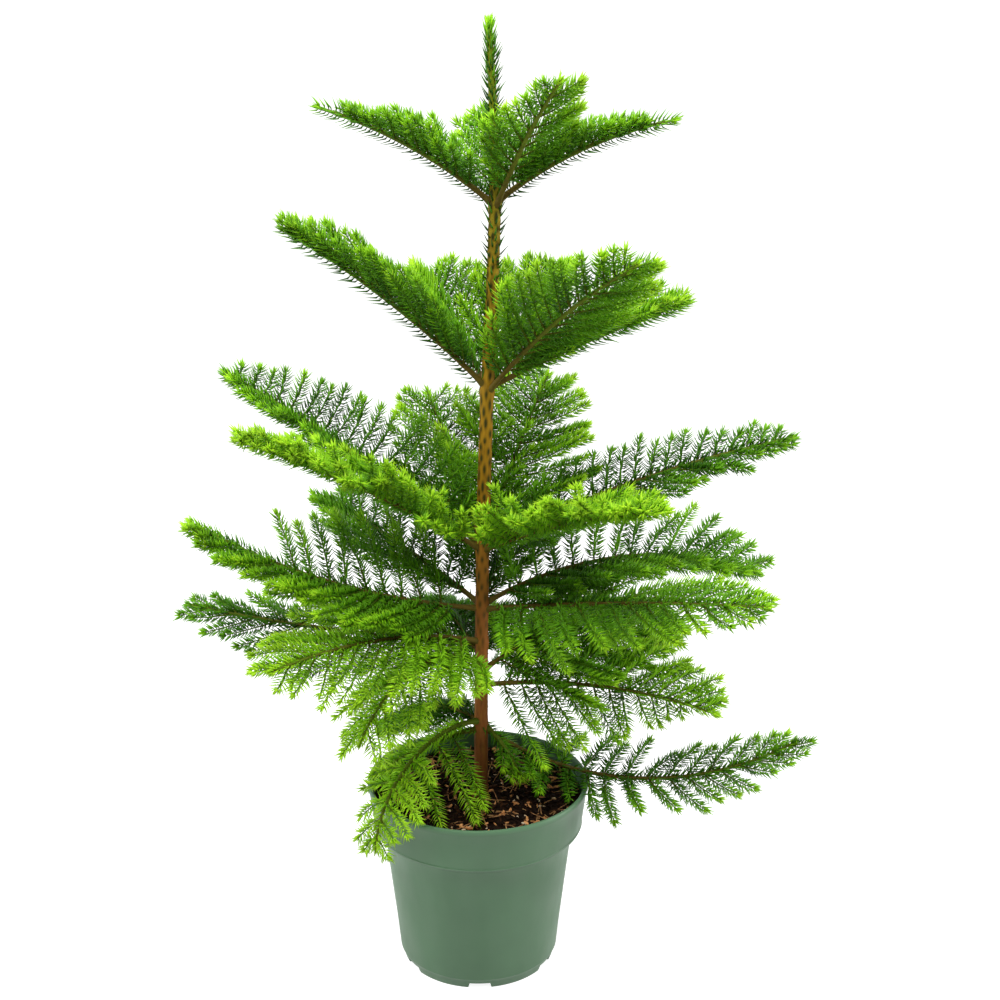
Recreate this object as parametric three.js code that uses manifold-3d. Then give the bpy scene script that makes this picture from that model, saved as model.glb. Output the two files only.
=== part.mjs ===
// Norfolk island pine, a young conifer in a round nursery pot.
// Millimetres, +Z up, origin at the centre of the pot's flat underside.
// Azimuth 0 points along +X, 90 along +Y.

import * as THREE from "three";
import Module from "manifold-3d";

const wasm = await Module();
wasm.setup();
const { Manifold, Mesh } = wasm;

// Pot sizes
const POT_HEIGHT = 180;
const RIM_RADIUS = 102.5;
const LIP_WIDTH = 4.2;
const BAND_FOOT_Z = 137.5;
const BAND_FOOT_RADIUS = 96.5;
const WALL_TOP_Z = 133.5;
const WALL_TOP_RADIUS = 87.9;
const WALL_FOOT_Z = 10;
const WALL_FOOT_RADIUS = 73.4;
const FOOT_RADIUS = 68.8;
const POT_WALL = 2.2;
const POT_FLOOR = 8.4;
const POT_SEGMENTS = 36;
const NOTCH_COUNT = 6;
const NOTCH_WIDTH = 23.4;
const NOTCH_HEIGHT = 6;
const NOTCH_FIRST_DEG = -88.5;

// Soil sizes
const SOIL_TOP_Z = 164;
const SOIL_BUMP = 1.6;
const SOIL_FLAT_RADIUS = 34;

// Trunk: stations of the axis and its radius
const TRUNK = [
  { z: 164.4, x: 2.5, y: -9.0, r: 9.4 },
  { z: 169, x: 2.6, y: -8.8, r: 7.4 },
  { z: 182, x: 2.8, y: -8.2, r: 6.6 },
  { z: 250, x: 3.3, y: -5.0, r: 6.1 },
  { z: 318, x: 3.7, y: -2.0, r: 5.8 },
  { z: 407, x: 4.9, y: 0.0, r: 5.6 },
  { z: 480, x: 6.9, y: 0.0, r: 5.5 },
  { z: 552, x: 9.2, y: 0.0, r: 5.4 },
  { z: 640, x: 13.9, y: 0.0, r: 4.9 },
  { z: 712, x: 16.2, y: 0.0, r: 4.6 },
  { z: 750, x: 15.9, y: 0.0, r: 3.7 },
  { z: 810, x: 13.9, y: 0.0, r: 3.1 },
  { z: 848, x: 12.1, y: 0.0, r: 2.6 },
  { z: 862, x: 11.5, y: 0.0, r: 1.0 },
];
const TRUNK_SIDES = 9;
const LEADER_FOOT_Z = 566;
const LEADER_TOP_Z = 858;
const LEADER_NEEDLES = 54;
const LEADER_NEEDLE_LENGTH = 12;

// Gaps between neighbours
const GAP = 0.35;
const CLEARANCE = 0.5;

// Two rows of branchlets on a bough. fold: how far the row is lifted (or hangs), reach: longest
// branchlet, taper: how fast they shorten to the tip, root and tip: angle to the rib at the
// bough's root and tip, gap: distance as a share of the tier's, stop: share of the clothed rib
// where the row ends
function row(fold, reach, taper, root = 64, tip = 46, gap = 1, stop = 1) {
  return { fold, reach, taper, root, tip, gap, stop };
}

// Boughs. z: height where the limb leaves the trunk, az: azimuth, length along the rib,
// rise0 and rise1: slope at the root and at the tip, limb: share of the length that is bare,
// sag: bend of the branchlets (up where positive), swell: length of the first branchlets as a
// share of the longest, jitter: scatter of the fold, near and far: the rows towards -Y and +Y
const BOUGHS = [
  { name: "tier1_left", z: 711, az: 190, length: 168, rise0: 42, rise1: 18, limb: 0.13,
    sag: 0.06, swell: 0.62, jitter: 8, near: row(27, 54, 1.2), far: row(43, 54, 1.2) },
  { name: "tier1_front", z: 707, az: -62, length: 157, rise0: 54, rise1: 40, limb: 0.13,
    sag: 0.06, swell: 0.62, jitter: 8, near: row(36, 54, 0.6, 66, 52, 1.2),
    far: row(-4, 66, 0.5, 62, 48, 1.2) },
  { name: "tier1_right", z: 713, az: -13, length: 166, rise0: 40, rise1: 12, limb: 0.13,
    sag: 0.06, swell: 0.62, jitter: 8, near: row(25, 44, 1.2), far: row(45, 46, 1.2) },
  { name: "tier1_back", z: 709, az: 96, length: 126, rise0: 46, rise1: 22, limb: 0,
    sag: 0.06, swell: 0.62, jitter: 8, near: row(32, 58, 0.9), far: row(32, 58, 0.9) },

  { name: "tier2_left", z: 554, az: 190, length: 222, rise0: 47, rise1: 33, limb: 0.1,
    sag: 0.06, swell: 0.62, jitter: 8, near: row(31, 80, 0.5, 52, 36), far: row(39, 76, 0.5, 52, 36) },
  { name: "tier2_front", z: 549, az: -46, length: 218, rise0: 47, rise1: 31, limb: 0.1,
    sag: 0.06, swell: 0.62, jitter: 8, near: row(43, 78, 0.5, 62, 48), far: row(-18, 90, 0.5, 60, 48) },
  { name: "tier2_right", z: 553, az: 2, length: 186, rise0: 28, rise1: 19, limb: 0.1,
    sag: 0.06, swell: 0.62, jitter: 8, near: row(22, 78, 0.6, 54, 40), far: row(38, 78, 0.6, 54, 40) },
  { name: "tier2_back_right", z: 550, az: 64, length: 166, rise0: 40, rise1: 18, limb: 0.1,
    sag: 0.06, swell: 0.62, jitter: 8, near: row(32, 84, 0.6), far: row(32, 84, 0.6) },
  { name: "tier2_back_left", z: 551, az: 118, length: 148, rise0: 44, rise1: 24, limb: 0.1,
    sag: 0.06, swell: 0.62, jitter: 8, near: row(32, 80, 0.6), far: row(32, 80, 0.6) },

  { name: "tier3_front_left", z: 405, az: 205, length: 256, rise0: 36, rise1: 25, limb: 0.08,
    sag: 0, swell: 0.62, jitter: 18, near: row(20, 72, 0.45, 68, 62, 0.8),
    far: row(20, 66, 0.5, 60, 50) },
  { name: "tier3_front", z: 404, az: -48, length: 226, rise0: 31, rise1: 15, limb: 0.08,
    sag: 0, swell: 0.62, jitter: 18, near: row(28, 76, 0.4, 70, 60, 0.8),
    far: row(10, 70, 0.5, 60, 50) },
  { name: "tier3_left", z: 410, az: 163, length: 280, rise0: 34, rise1: 26, limb: 0.08,
    sag: 0.06, swell: 0.62, jitter: 8, near: row(8, 80, 0.55, 70, 56),
    far: row(60, 72, 0.6, 104, 88, 1.15) },
  { name: "tier3_back_left", z: 406, az: 108, length: 200, rise0: 36, rise1: 24, limb: 0.08,
    sag: 0.06, swell: 0.62, jitter: 8, near: row(22, 92, 0.6, 78, 60), far: row(22, 92, 0.6, 78, 60) },
  { name: "tier3_back", z: 408, az: 70, length: 212, rise0: 38, rise1: 27, limb: 0.08,
    sag: 0.06, swell: 0.62, jitter: 8, near: row(4, 104, 0.6, 80, 62, 0.9),
    far: row(18, 96, 0.6, 80, 62, 0.9) },
  { name: "tier3_right", z: 409, az: 12, length: 300, rise0: 24, rise1: 8, limb: 0.08,
    sag: 0.06, swell: 0.62, jitter: 8, near: row(-12, 74, 0.55, 64, 48),
    far: row(50, 46, 0.45, 80, 58, 1.1) },

  { name: "tier4_left", z: 350, az: 192, length: 274, rise0: 8, rise1: 35, limb: 0.08,
    sag: 0.06, swell: 0.8, jitter: 8, near: row(-14, 92, 0.45, 64, 50, 0.75),
    far: row(50, 104, 0.9, 80, 62, 1.25, 0.6) },
  { name: "tier4_back_left", z: 353, az: 138, length: 210, rise0: 20, rise1: 12, limb: 0.08,
    sag: 0.06, swell: 0.62, jitter: 8, near: row(12, 104, 0.6), far: row(26, 92, 0.6) },
  { name: "tier4_back", z: 349, az: 80, length: 196, rise0: 20, rise1: 0, limb: 0.08,
    sag: 0.06, swell: 0.62, jitter: 8, near: row(24, 92, 0.6), far: row(24, 92, 0.6) },
  { name: "tier4_right", z: 353, az: 18, length: 278, rise0: 26, rise1: -26, limb: 0.08,
    sag: 0.06, swell: 0.62, jitter: 8, near: row(0, 94, 0.6, 78, 58, 0.9),
    far: row(28, 78, 0.2, 86, 36, 1.3) },
  { name: "tier4_front", z: 349, az: -25, length: 268, rise0: 14, rise1: 6, limb: 0.06,
    sag: -0.06, swell: 0.9, jitter: 8, near: row(-14, 108, 0.62, 70, 48), far: row(6, 104, 0.6) },

  { name: "tier5_left", z: 316, az: 174, length: 270, rise0: 1, rise1: 10, limb: 0.1,
    sag: -0.04, swell: 0.62, jitter: 8, near: row(-22, 92, 0.5, 54, 40, 1.5),
    far: row(10, 92, 0.5, 54, 40, 1.5) },
  { name: "tier5_front_left", z: 318, az: 214, length: 214, rise0: 22, rise1: -10, limb: 0.08,
    sag: -0.14, swell: 0.9, jitter: 14, near: row(-20, 112, 0.64, 64, 46, 0.95),
    far: row(8, 112, 0.5, 64, 46, 0.95) },
  { name: "tier5_front_low", z: 296, az: 226, length: 170, rise0: 40, rise1: -60, limb: 0,
    sag: -0.16, swell: 1, jitter: 14, near: row(-20, 76, 0.4, 64, 46, 1.05),
    far: row(-20, 84, 0.4, 64, 46, 0.95) },
  { name: "tier5_right", z: 276, az: -4, length: 216, rise0: 8, rise1: -20, limb: 0.06,
    sag: -0.12, swell: 1, jitter: 14, near: row(-34, 84, 1.1, 66, 84, 1.4),
    far: row(36, 118, 0.55, 72, 48, 0.75) },
  { name: "tier5_back_right", z: 289, az: 34, length: 230, rise0: 24, rise1: -22, limb: 0.06,
    sag: -0.1, swell: 1, jitter: 8, near: row(-20, 104, 0.5, 74, 50, 0.85),
    far: row(0, 96, 0.5, 72, 50) },
  { name: "tier5_back", z: 300, az: 108, length: 206, rise0: 12, rise1: -22, limb: 0,
    sag: -0.1, swell: 0.62, jitter: 8, near: row(-10, 90, 0.5), far: row(-10, 90, 0.5) },

  { name: "tier6_right", z: 237, az: 4, length: 312, rise0: -40, rise1: 29, limb: 0.16,
    sag: -0.03, swell: 0.6, jitter: 8, near: row(-8, 66, 0.28, 112, 36, 1.4),
    far: row(22, 72, 0.4, 75, 38, 1.6) },
  { name: "tier6_left", z: 241, az: 222, length: 172, rise0: 16, rise1: -84, limb: 0.46,
    sag: -0.1, swell: 0.62, jitter: 8, near: row(10, 58, 0.4, 90, 78, 1.3),
    far: row(-10, 56, 0.4, 80, 50, 1.3) },
  { name: "tier6_front", z: 233, az: 204, length: 98, rise0: 4, rise1: -30, limb: 0,
    sag: -0.06, swell: 0.05, jitter: 8, near: row(-36, 82, 0.1, 108, 82, 1.5),
    far: row(-20, 48, 0.3, 64, 46, 1.5) },
  { name: "tier6_front_right", z: 240, az: -24, length: 64, rise0: -34, rise1: -68, limb: 0,
    sag: -0.1, swell: 0.05, jitter: 8, near: row(-20, 26, 0.4, 64, 46, 1.4),
    far: row(-20, 26, 0.4, 64, 46, 1.4) },
  { name: "tier6_back", z: 240, az: 132, length: 150, rise0: 4, rise1: -46, limb: 0,
    sag: -0.1, swell: 0.62, jitter: 8, near: row(-10, 64, 0.5), far: row(-10, 64, 0.5) },
];
const RIB_ROOT_RADIUS = 2.0;
const RIB_TIP_RADIUS = 1.0;
const LIMB_SIDES = 6;
const LIMB_STEP = 22;
const STEM_STEP = 60;
const STEM_SAG = 0.3;
const STEM_SWELL = 1.25;

// Branchlets: every one is a toothed blade, the teeth standing for its needles
const BRANCHLET_SPACING = { 1: 29, 2: 33, 3: 38, 4: 39, 5: 41, 6: 35 };
const BRANCHLET_CURL = 0.16;
const BRANCHLET_MIN = 14;
const NEEDLE_REACH = 12;
const TOOTH_STEP = 30;
const TOOTH_LEAN = 1.5;
const BLADE_TWIST = 18;
const CORE_HALF_WIDTH = 1.7;
const CORE_HEIGHT = 2.4;

// Colours
const COLOURS = {
  pot: 0x5f8162,
  soil: 0x33261e,
  trunk: 0x7a5436,
  bough: 0x6f6a3a,
  1: 0x6f9a4a,
  2: 0x5f9146,
  3: 0x7fae4c,
  4: 0x4f8540,
  5: 0x5f8c45,
  6: 0x648f48,
};

const RAD = Math.PI / 180;

// Seeded random numbers, one stream for each piece of work
function randomStream(seed) {
  let state = seed >>> 0;
  return () => {
    state = (state + 0x6d2b79f5) >>> 0;
    let t = state;
    t = Math.imul(t ^ (t >>> 15), t | 1);
    t ^= t + Math.imul(t ^ (t >>> 7), t | 61);
    return ((t ^ (t >>> 14)) >>> 0) / 4294967296;
  };
}

function vec(x, y, z) {
  return new THREE.Vector3(x, y, z);
}

function mix(a, b, t) {
  return a + (b - a) * t;
}

// Sum of two directions, each by its share
function blend(a, shareA, b, shareB) {
  return a.clone().multiplyScalar(shareA).addScaledVector(b, shareB);
}

// Closed solid from corner points and triangles
function solidFrom(points, faces) {
  const vertProperties = new Float32Array(points.length * 3);
  points.forEach((p, i) => vertProperties.set([p.x, p.y, p.z], i * 3));
  const triVerts = new Uint32Array(faces.flat());
  return new Manifold(new Mesh({ numProp: 3, vertProperties, triVerts }));
}

// Turned solid: the profile runs from the axis at the bottom round to the axis at the top
function revolve(profile, segments, lift = () => 0) {
  const points = [];
  const rows = profile.map(({ r, z }) => {
    if (r === 0) {
      points.push(vec(0, 0, z));
      return [points.length - 1];
    }
    const row = [];
    for (let k = 0; k < segments; k += 1) {
      const a = (2 * Math.PI * k) / segments;
      points.push(vec(r * Math.cos(a), r * Math.sin(a), z + lift(r, z, k)));
      row.push(points.length - 1);
    }
    return row;
  });
  const faces = [];
  for (let i = 0; i + 1 < rows.length; i += 1) {
    const low = rows[i];
    const high = rows[i + 1];
    for (let k = 0; k < segments; k += 1) {
      const n = (k + 1) % segments;
      if (low.length > 1) faces.push([low[k], low[n], high.length > 1 ? high[n] : high[0]]);
      if (high.length > 1) faces.push([low.length > 1 ? low[k] : low[0], high[n], high[k]]);
    }
  }
  return solidFrom(points, faces);
}

// Tapering tube through stations that carry a centre, two cross directions and a radius
function tube(stations, sides, turn = 0) {
  const points = [];
  const faces = [];
  stations.forEach(({ p, u, v, r }) => {
    for (let k = 0; k < sides; k += 1) {
      const a = (2 * Math.PI * k) / sides + turn;
      points.push(p.clone().addScaledVector(u, r * Math.cos(a)).addScaledVector(v, r * Math.sin(a)));
    }
  });
  for (let i = 0; i + 1 < stations.length; i += 1) {
    for (let k = 0; k < sides; k += 1) {
      const n = (k + 1) % sides;
      const a = i * sides;
      const b = a + sides;
      faces.push([a + k, a + n, b + n], [a + k, b + n, b + k]);
    }
  }
  const last = (stations.length - 1) * sides;
  for (let k = 1; k + 1 < sides; k += 1) {
    faces.push([0, k + 1, k], [last, last + k, last + k + 1]);
  }
  return solidFrom(points, faces);
}

// Block between two rectangles, used for the notches in the pot's foot
function taperedBlock(x0, x1, halfLow, halfHigh, z0, z1) {
  const points = [];
  for (const [z, h] of [[z0, halfLow], [z1, halfHigh]]) {
    points.push(vec(x0, -h, z), vec(x1, -h, z), vec(x1, h, z), vec(x0, h, z));
  }
  const faces = [[0, 2, 1], [0, 3, 2], [4, 5, 6], [4, 6, 7]];
  for (let k = 0; k < 4; k += 1) {
    const n = (k + 1) % 4;
    faces.push([k, n, n + 4], [k, n + 4, k + 4]);
  }
  return solidFrom(points, faces);
}

// Pot: notched foot, tapering wall, a short step out to the band, and the lip
function makePot() {
  const top = POT_HEIGHT;
  const profile = [
    { r: 0, z: 0 },
    { r: FOOT_RADIUS, z: 0 },
    { r: FOOT_RADIUS + 2.2, z: 2.4 },
    { r: WALL_FOOT_RADIUS, z: WALL_FOOT_Z },
    { r: WALL_TOP_RADIUS, z: WALL_TOP_Z },
    { r: BAND_FOOT_RADIUS - 0.8, z: BAND_FOOT_Z - 1.9 },
    { r: BAND_FOOT_RADIUS, z: BAND_FOOT_Z },
    { r: RIM_RADIUS - 0.9, z: top - 8 },
    { r: RIM_RADIUS, z: top - 4 },
    { r: RIM_RADIUS - 0.6, z: top - 0.8 },
    { r: RIM_RADIUS - LIP_WIDTH / 2, z: top },
    { r: RIM_RADIUS - LIP_WIDTH, z: top - 1.8 },
    { r: BAND_FOOT_RADIUS - POT_WALL, z: BAND_FOOT_Z + 0.6 },
    { r: WALL_TOP_RADIUS - POT_WALL, z: WALL_TOP_Z + 2 },
    { r: WALL_FOOT_RADIUS - POT_WALL, z: WALL_FOOT_Z },
    { r: FOOT_RADIUS - 6, z: POT_FLOOR },
    { r: FOOT_RADIUS - 13, z: POT_FLOOR },
    { r: 0, z: POT_FLOOR },
  ];
  let pot = revolve(profile, POT_SEGMENTS);
  for (let k = 0; k < NOTCH_COUNT; k += 1) {
    const block = taperedBlock(
      FOOT_RADIUS - 10, FOOT_RADIUS + 12, NOTCH_WIDTH / 2 + 0.9, NOTCH_WIDTH / 2 - 0.9, -2, NOTCH_HEIGHT);
    const turned = block.rotate([0, 0, NOTCH_FIRST_DEG + (360 / NOTCH_COUNT) * k]);
    pot = pot.subtract(turned);
  }
  return pot;
}

// The soil fills the pot, a little clear of its wall, with a lumpy top
function makeSoil() {
  const random = randomStream(11);
  const bumps = Array.from({ length: POT_SEGMENTS * 4 }, () => (random() - 0.5) * 2 * SOIL_BUMP);
  const clear = POT_WALL + GAP + 0.25;
  const edge = mix(BAND_FOOT_RADIUS, RIM_RADIUS, (SOIL_TOP_Z - BAND_FOOT_Z) / (POT_HEIGHT - BAND_FOOT_Z));
  const profile = [
    { r: 0, z: POT_FLOOR + 0.4 },
    { r: FOOT_RADIUS - 6.6, z: POT_FLOOR + 0.4 },
    { r: WALL_FOOT_RADIUS - clear - 0.3, z: WALL_FOOT_Z + 1 },
    { r: WALL_TOP_RADIUS - clear - 0.8, z: WALL_TOP_Z + 3 },
    { r: BAND_FOOT_RADIUS - clear - 0.8, z: BAND_FOOT_Z + 4 },
    { r: edge - clear - 1.4, z: SOIL_TOP_Z - 4 },
    { r: 78, z: SOIL_TOP_Z },
    { r: 56, z: SOIL_TOP_Z },
    { r: SOIL_FLAT_RADIUS, z: SOIL_TOP_Z },
    { r: 0, z: SOIL_TOP_Z },
  ];
  const lift = (r, z, k) => {
    if (z < SOIL_TOP_Z - 4 || r <= SOIL_FLAT_RADIUS) return 0;
    const ring = z < SOIL_TOP_Z ? 0 : r > 60 ? 1 : 2;
    return bumps[ring * POT_SEGMENTS + k];
  };
  return revolve(profile, POT_SEGMENTS, lift);
}

// Trunk axis and radius at a height
function trunkAt(z) {
  let i = 0;
  while (i + 2 < TRUNK.length && TRUNK[i + 1].z < z) i += 1;
  const a = TRUNK[i];
  const b = TRUNK[i + 1];
  const t = Math.min(1, Math.max(0, (z - a.z) / (b.z - a.z)));
  return { p: vec(mix(a.x, b.x, t), mix(a.y, b.y, t), z), r: mix(a.r, b.r, t) };
}

function makeTrunkCore(grow) {
  const u = vec(1, 0, 0);
  const v = vec(0, 1, 0);
  const stations = TRUNK.map(({ x, y, z, r }) => ({ p: vec(x, y, z), u, v, r: r + grow }));
  return tube(stations, TRUNK_SIDES);
}

// Needle standing out of the leader, a slim three-sided spike
function leaderNeedle(z, azimuth, rise, length) {
  const out = vec(Math.cos(azimuth), Math.sin(azimuth), 0);
  const side = vec(-Math.sin(azimuth), Math.cos(azimuth), 0);
  const { p, r } = trunkAt(z);
  const up = vec(0, 0, 1);
  const along = blend(out, Math.cos(rise), up, Math.sin(rise));
  const across = blend(out, -Math.sin(rise), up, Math.cos(rise));
  const root = p.clone().addScaledVector(out, r * 0.35);
  const tip = p.clone().addScaledVector(out, r).addScaledVector(along, length);
  const points = [
    root.clone().addScaledVector(side, -1.1).addScaledVector(across, -0.6),
    root.clone().addScaledVector(side, 1.1).addScaledVector(across, -0.6),
    root.clone().addScaledVector(across, 1.2),
    tip,
  ];
  return solidFrom(points, [[0, 2, 1], [0, 1, 3], [1, 2, 3], [2, 0, 3]]);
}

// Rib of a bough: an arc in its own upright plane whose slope goes evenly from rise0 to rise1
function ribAt(bough, s) {
  const a = bough.az * RAD;
  const f0 = bough.rise0 * RAD;
  const f1 = bough.rise1 * RAD;
  const turn = (f1 - f0) / bough.length;
  const f = f0 + turn * s;
  const flat = Math.abs(turn) < 1e-6;
  const out = flat ? s * Math.cos(f0) : (Math.sin(f) - Math.sin(f0)) / turn;
  const up = flat ? s * Math.sin(f0) : -(Math.cos(f) - Math.cos(f0)) / turn;
  const radial = vec(Math.cos(a), Math.sin(a), 0);
  const side = vec(-Math.sin(a), Math.cos(a), 0);
  const p = trunkAt(bough.z).p.addScaledVector(radial, out);
  p.z += up;
  const along = blend(radial, Math.cos(f), vec(0, 0, 1), Math.sin(f));
  const normal = blend(radial, -Math.sin(f), vec(0, 0, 1), Math.cos(f));
  return { p, along, side, normal, r: mix(RIB_ROOT_RADIUS, RIB_TIP_RADIUS, s / bough.length) };
}

function ribTube(bough, s0, s1, step, sides, turn, swell) {
  const count = Math.max(1, Math.round((s1 - s0) / step));
  const stations = [];
  for (let i = 0; i <= count; i += 1) {
    const { p, side, normal, r } = ribAt(bough, mix(s0, s1, i / count));
    stations.push({ p, u: side, v: normal, r: r * swell });
  }
  return tube(stations, sides, turn);
}

// Stem inside a mass: three-sided, two of its sides facing the rows of branchlets
function stemTube(bough, s0) {
  const turn = (bough.near.fold + bough.far.fold < 0 ? -90 : 90) * RAD;
  const bend = (Math.abs(bough.rise1 - bough.rise0) * RAD) / bough.length;
  const step = Math.min(STEM_STEP, Math.sqrt((8 * STEM_SAG) / bend));
  return ribTube(bough, s0, bough.length - 4, step, 3, turn, STEM_SWELL);
}

function tierOf(bough) {
  return Number(bough.name.slice(4, 5));
}

// Branchlets of a bough: where each leaves the rib, its way, length and curl
function branchletsOf(bough, index) {
  const random = randomStream(1000 + index * 37);
  const start = bough.length * Math.max(bough.limb, 0.04) + 7;
  const away = Math.cos(bough.az * RAD) >= 0 ? 1 : -1;
  const list = [];
  for (const side of [bough.near, bough.far]) {
    const hand = side === bough.near ? -away : away;
    const step = BRANCHLET_SPACING[tierOf(bough)] * side.gap;
    const first = side === bough.near ? start : start + step / 2;
    const end = Math.min(bough.length - 8, mix(start, bough.length, side.stop));
    for (let s = first; s < end; s += step * (0.9 + 0.2 * random())) {
      const u = (s - start) / (bough.length - start);
      const swell = mix(bough.swell, 1, Math.min(1, u / 0.2));
      const length = side.reach * swell * (1 - u) ** side.taper * (0.9 + 0.2 * random());
      const angle = (mix(side.root, side.tip, u) + (random() - 0.5) * 8) * RAD;
      const fold = (side.fold + (random() - 0.5) * 2 * bough.jitter) * RAD;
      const twist = (random() - 0.5) * 2 * BLADE_TWIST * RAD;
      const wide = 0.86 + 0.28 * random();
      if (length >= BRANCHLET_MIN) list.push({ s, hand, length, angle, fold, twist, wide });
    }
  }
  return list.sort((a, b) => a.s - b.s);
}

// Toothed blade along a branchlet that curls towards the bough's tip
function bladeSolid(bough, twig, length) {
  const { p, along, side, normal, r } = ribAt(bough, twig.s);
  const across = blend(side, twig.hand * Math.cos(twig.fold), normal, Math.sin(twig.fold));
  const way = blend(along, Math.cos(twig.angle), across, Math.sin(twig.angle));
  const flank = blend(along, Math.sin(twig.angle), across, -Math.cos(twig.angle));
  flank.applyAxisAngle(way, twig.twist);
  const bend = blend(flank, BRANCHLET_CURL, vec(0, 0, 1), bough.sag);
  return blade(p, way, flank, length, r * 0.4, bend, twig.wide);
}

// Blade: a three-sided core with a row of forward teeth on each edge
function blade(root, way, flank, length, rootHalf, bend, wide) {
  const top = way.clone().cross(flank).normalize();
  const teeth = Math.max(length > TOOTH_STEP ? 2 : 1, Math.round(length / TOOTH_STEP));
  const body = length * 0.86;
  const spine = (t) => root.clone().addScaledVector(way, t).addScaledVector(bend, (t * t) / length);
  const points = [];
  const faces = [];
  for (let i = 0; i <= teeth; i += 1) {
    const t = (body * i) / teeth;
    const half = i === 0 ? rootHalf : mix(CORE_HALF_WIDTH, CORE_HALF_WIDTH * 0.6, i / teeth);
    const c = spine(t);
    const high = i === 0 ? rootHalf : CORE_HEIGHT / 2;
    points.push(
      c.clone().addScaledVector(top, high),
      c.clone().addScaledVector(flank, half).addScaledVector(top, -high * 0.8),
      c.clone().addScaledVector(flank, -half).addScaledVector(top, -high * 0.8));
  }
  const tip = points.push(spine(length)) - 1;
  faces.push([0, 1, 2]);
  for (let i = 0; i < teeth; i += 1) {
    const a = i * 3;
    const b = a + 3;
    faces.push([a + 1, b + 2, a + 2], [a + 1, b + 1, b + 2]);
    const reach = NEEDLE_REACH * wide * mix(1, 0.72, i / teeth) * Math.min(1, length / 30);
    const t = Math.min((body * (i + TOOTH_LEAN)) / teeth, length * 0.96);
    for (const hand of [1, -1]) {
      const apex = points.push(spine(t).addScaledVector(flank, hand * reach)) - 1;
      const low = hand > 0 ? 1 : 2;
      const ring = [a, a + low, b + low, b];
      for (let k = 0; k < 4; k += 1) {
        const n = (k + 1) % 4;
        faces.push(hand > 0 ? [ring[n], ring[k], apex] : [ring[k], ring[n], apex]);
      }
    }
  }
  const e = teeth * 3;
  faces.push([e + 1, e, tip], [e + 2, e + 1, tip], [e, e + 2, tip]);
  return solidFrom(points, faces);
}

// Solids already placed, with their owner
const placed = [];

function place(owner, solid) {
  placed.push({ owner, solid, box: solid.boundingBox() });
}

function isClear(owner, solid) {
  const box = solid.boundingBox();
  return placed.every((other) => {
    if (other.owner === owner) return true;
    for (let k = 0; k < 3; k += 1) {
      if (box.min[k] > other.box.max[k] + CLEARANCE) return true;
      if (box.max[k] < other.box.min[k] - CLEARANCE) return true;
    }
    return solid.minGap(other.solid, CLEARANCE) >= CLEARANCE * 0.99;
  });
}

// Fuse pieces into one closed body: loose scraps and sealed hollows fall away
function fuse(pieces) {
  const whole = Manifold.union(pieces).simplify(0.1);
  const bodies = whole.decompose();
  bodies.sort((a, b) => b.volume() - a.volume());
  return bodies[0];
}

function meshFrom(name, solid, colour, roughness) {
  const { numProp, vertProperties, triVerts } = solid.getMesh();
  const geometry = new THREE.BufferGeometry();
  const positions = new Float32Array((vertProperties.length / numProp) * 3);
  for (let i = 0; i < positions.length / 3; i += 1) {
    positions.set(vertProperties.subarray(i * numProp, i * numProp + 3), i * 3);
  }
  geometry.setAttribute("position", new THREE.BufferAttribute(positions, 3));
  geometry.setIndex(new THREE.BufferAttribute(new Uint32Array(triVerts), 1));
  geometry.computeVertexNormals();
  const look = { color: colour, roughness, metalness: 0, flatShading: true };
  const material = new THREE.MeshStandardMaterial(look);
  const mesh = new THREE.Mesh(geometry, material);
  mesh.name = name;
  return mesh;
}

const group = new THREE.Group();
group.name = "norfolk_island_pine";

// Pot, soil and trunk
const pot = makePot();
const soil = makeSoil();
const trunkCore = makeTrunkCore(0);
const trunkGrown = makeTrunkCore(GAP);
place("pot", pot);
place("soil", soil);
place("trunk", trunkCore);
group.add(meshFrom("pot", pot, COLOURS.pot, 0.45));
group.add(meshFrom("soil", soil, COLOURS.soil, 0.95));

// Bare boughs and the stems of the foliage masses
const masses = BOUGHS.map((bough, index) => {
  const end = bough.length * bough.limb;
  const foliage = `${bough.name}_foliage`;
  if (bough.limb > 0) {
    const limb = ribTube(bough, 0, end, LIMB_STEP, LIMB_SIDES, 0, 1).subtract(trunkGrown);
    place(`${bough.name}_bough`, limb);
    group.add(meshFrom(`${bough.name}_bough`, limb, COLOURS.bough, 0.8));
  }
  const first = bough.limb > 0 ? end + GAP : 0;
  const rib = stemTube(bough, first);
  const stem = bough.limb > 0 ? rib : rib.subtract(trunkGrown);
  place(foliage, stem);
  return { bough, index, foliage, pieces: [stem] };
});

// Needles along the leader, clear of the boughs
const trunkPieces = [trunkCore];
const leaderRandom = randomStream(7);
for (let k = 0; k < LEADER_NEEDLES; k += 1) {
  const t = k / (LEADER_NEEDLES - 1);
  const z = mix(LEADER_FOOT_Z, LEADER_TOP_Z, t ** 0.9);
  const rise = mix(35, 62, t) * RAD;
  const room = (863 - z) / Math.sin(rise);
  const length = Math.min(LEADER_NEEDLE_LENGTH * (0.85 + 0.3 * leaderRandom()), Math.max(room, 3));
  const needle = leaderNeedle(z, k * 2.39996, rise, length);
  if (isClear("trunk", needle)) {
    trunkPieces.push(needle);
    place("trunk", needle);
  }
}
const trunk = fuse(trunkPieces);
group.add(meshFrom("trunk", trunk, COLOURS.trunk, 0.85));

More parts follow.
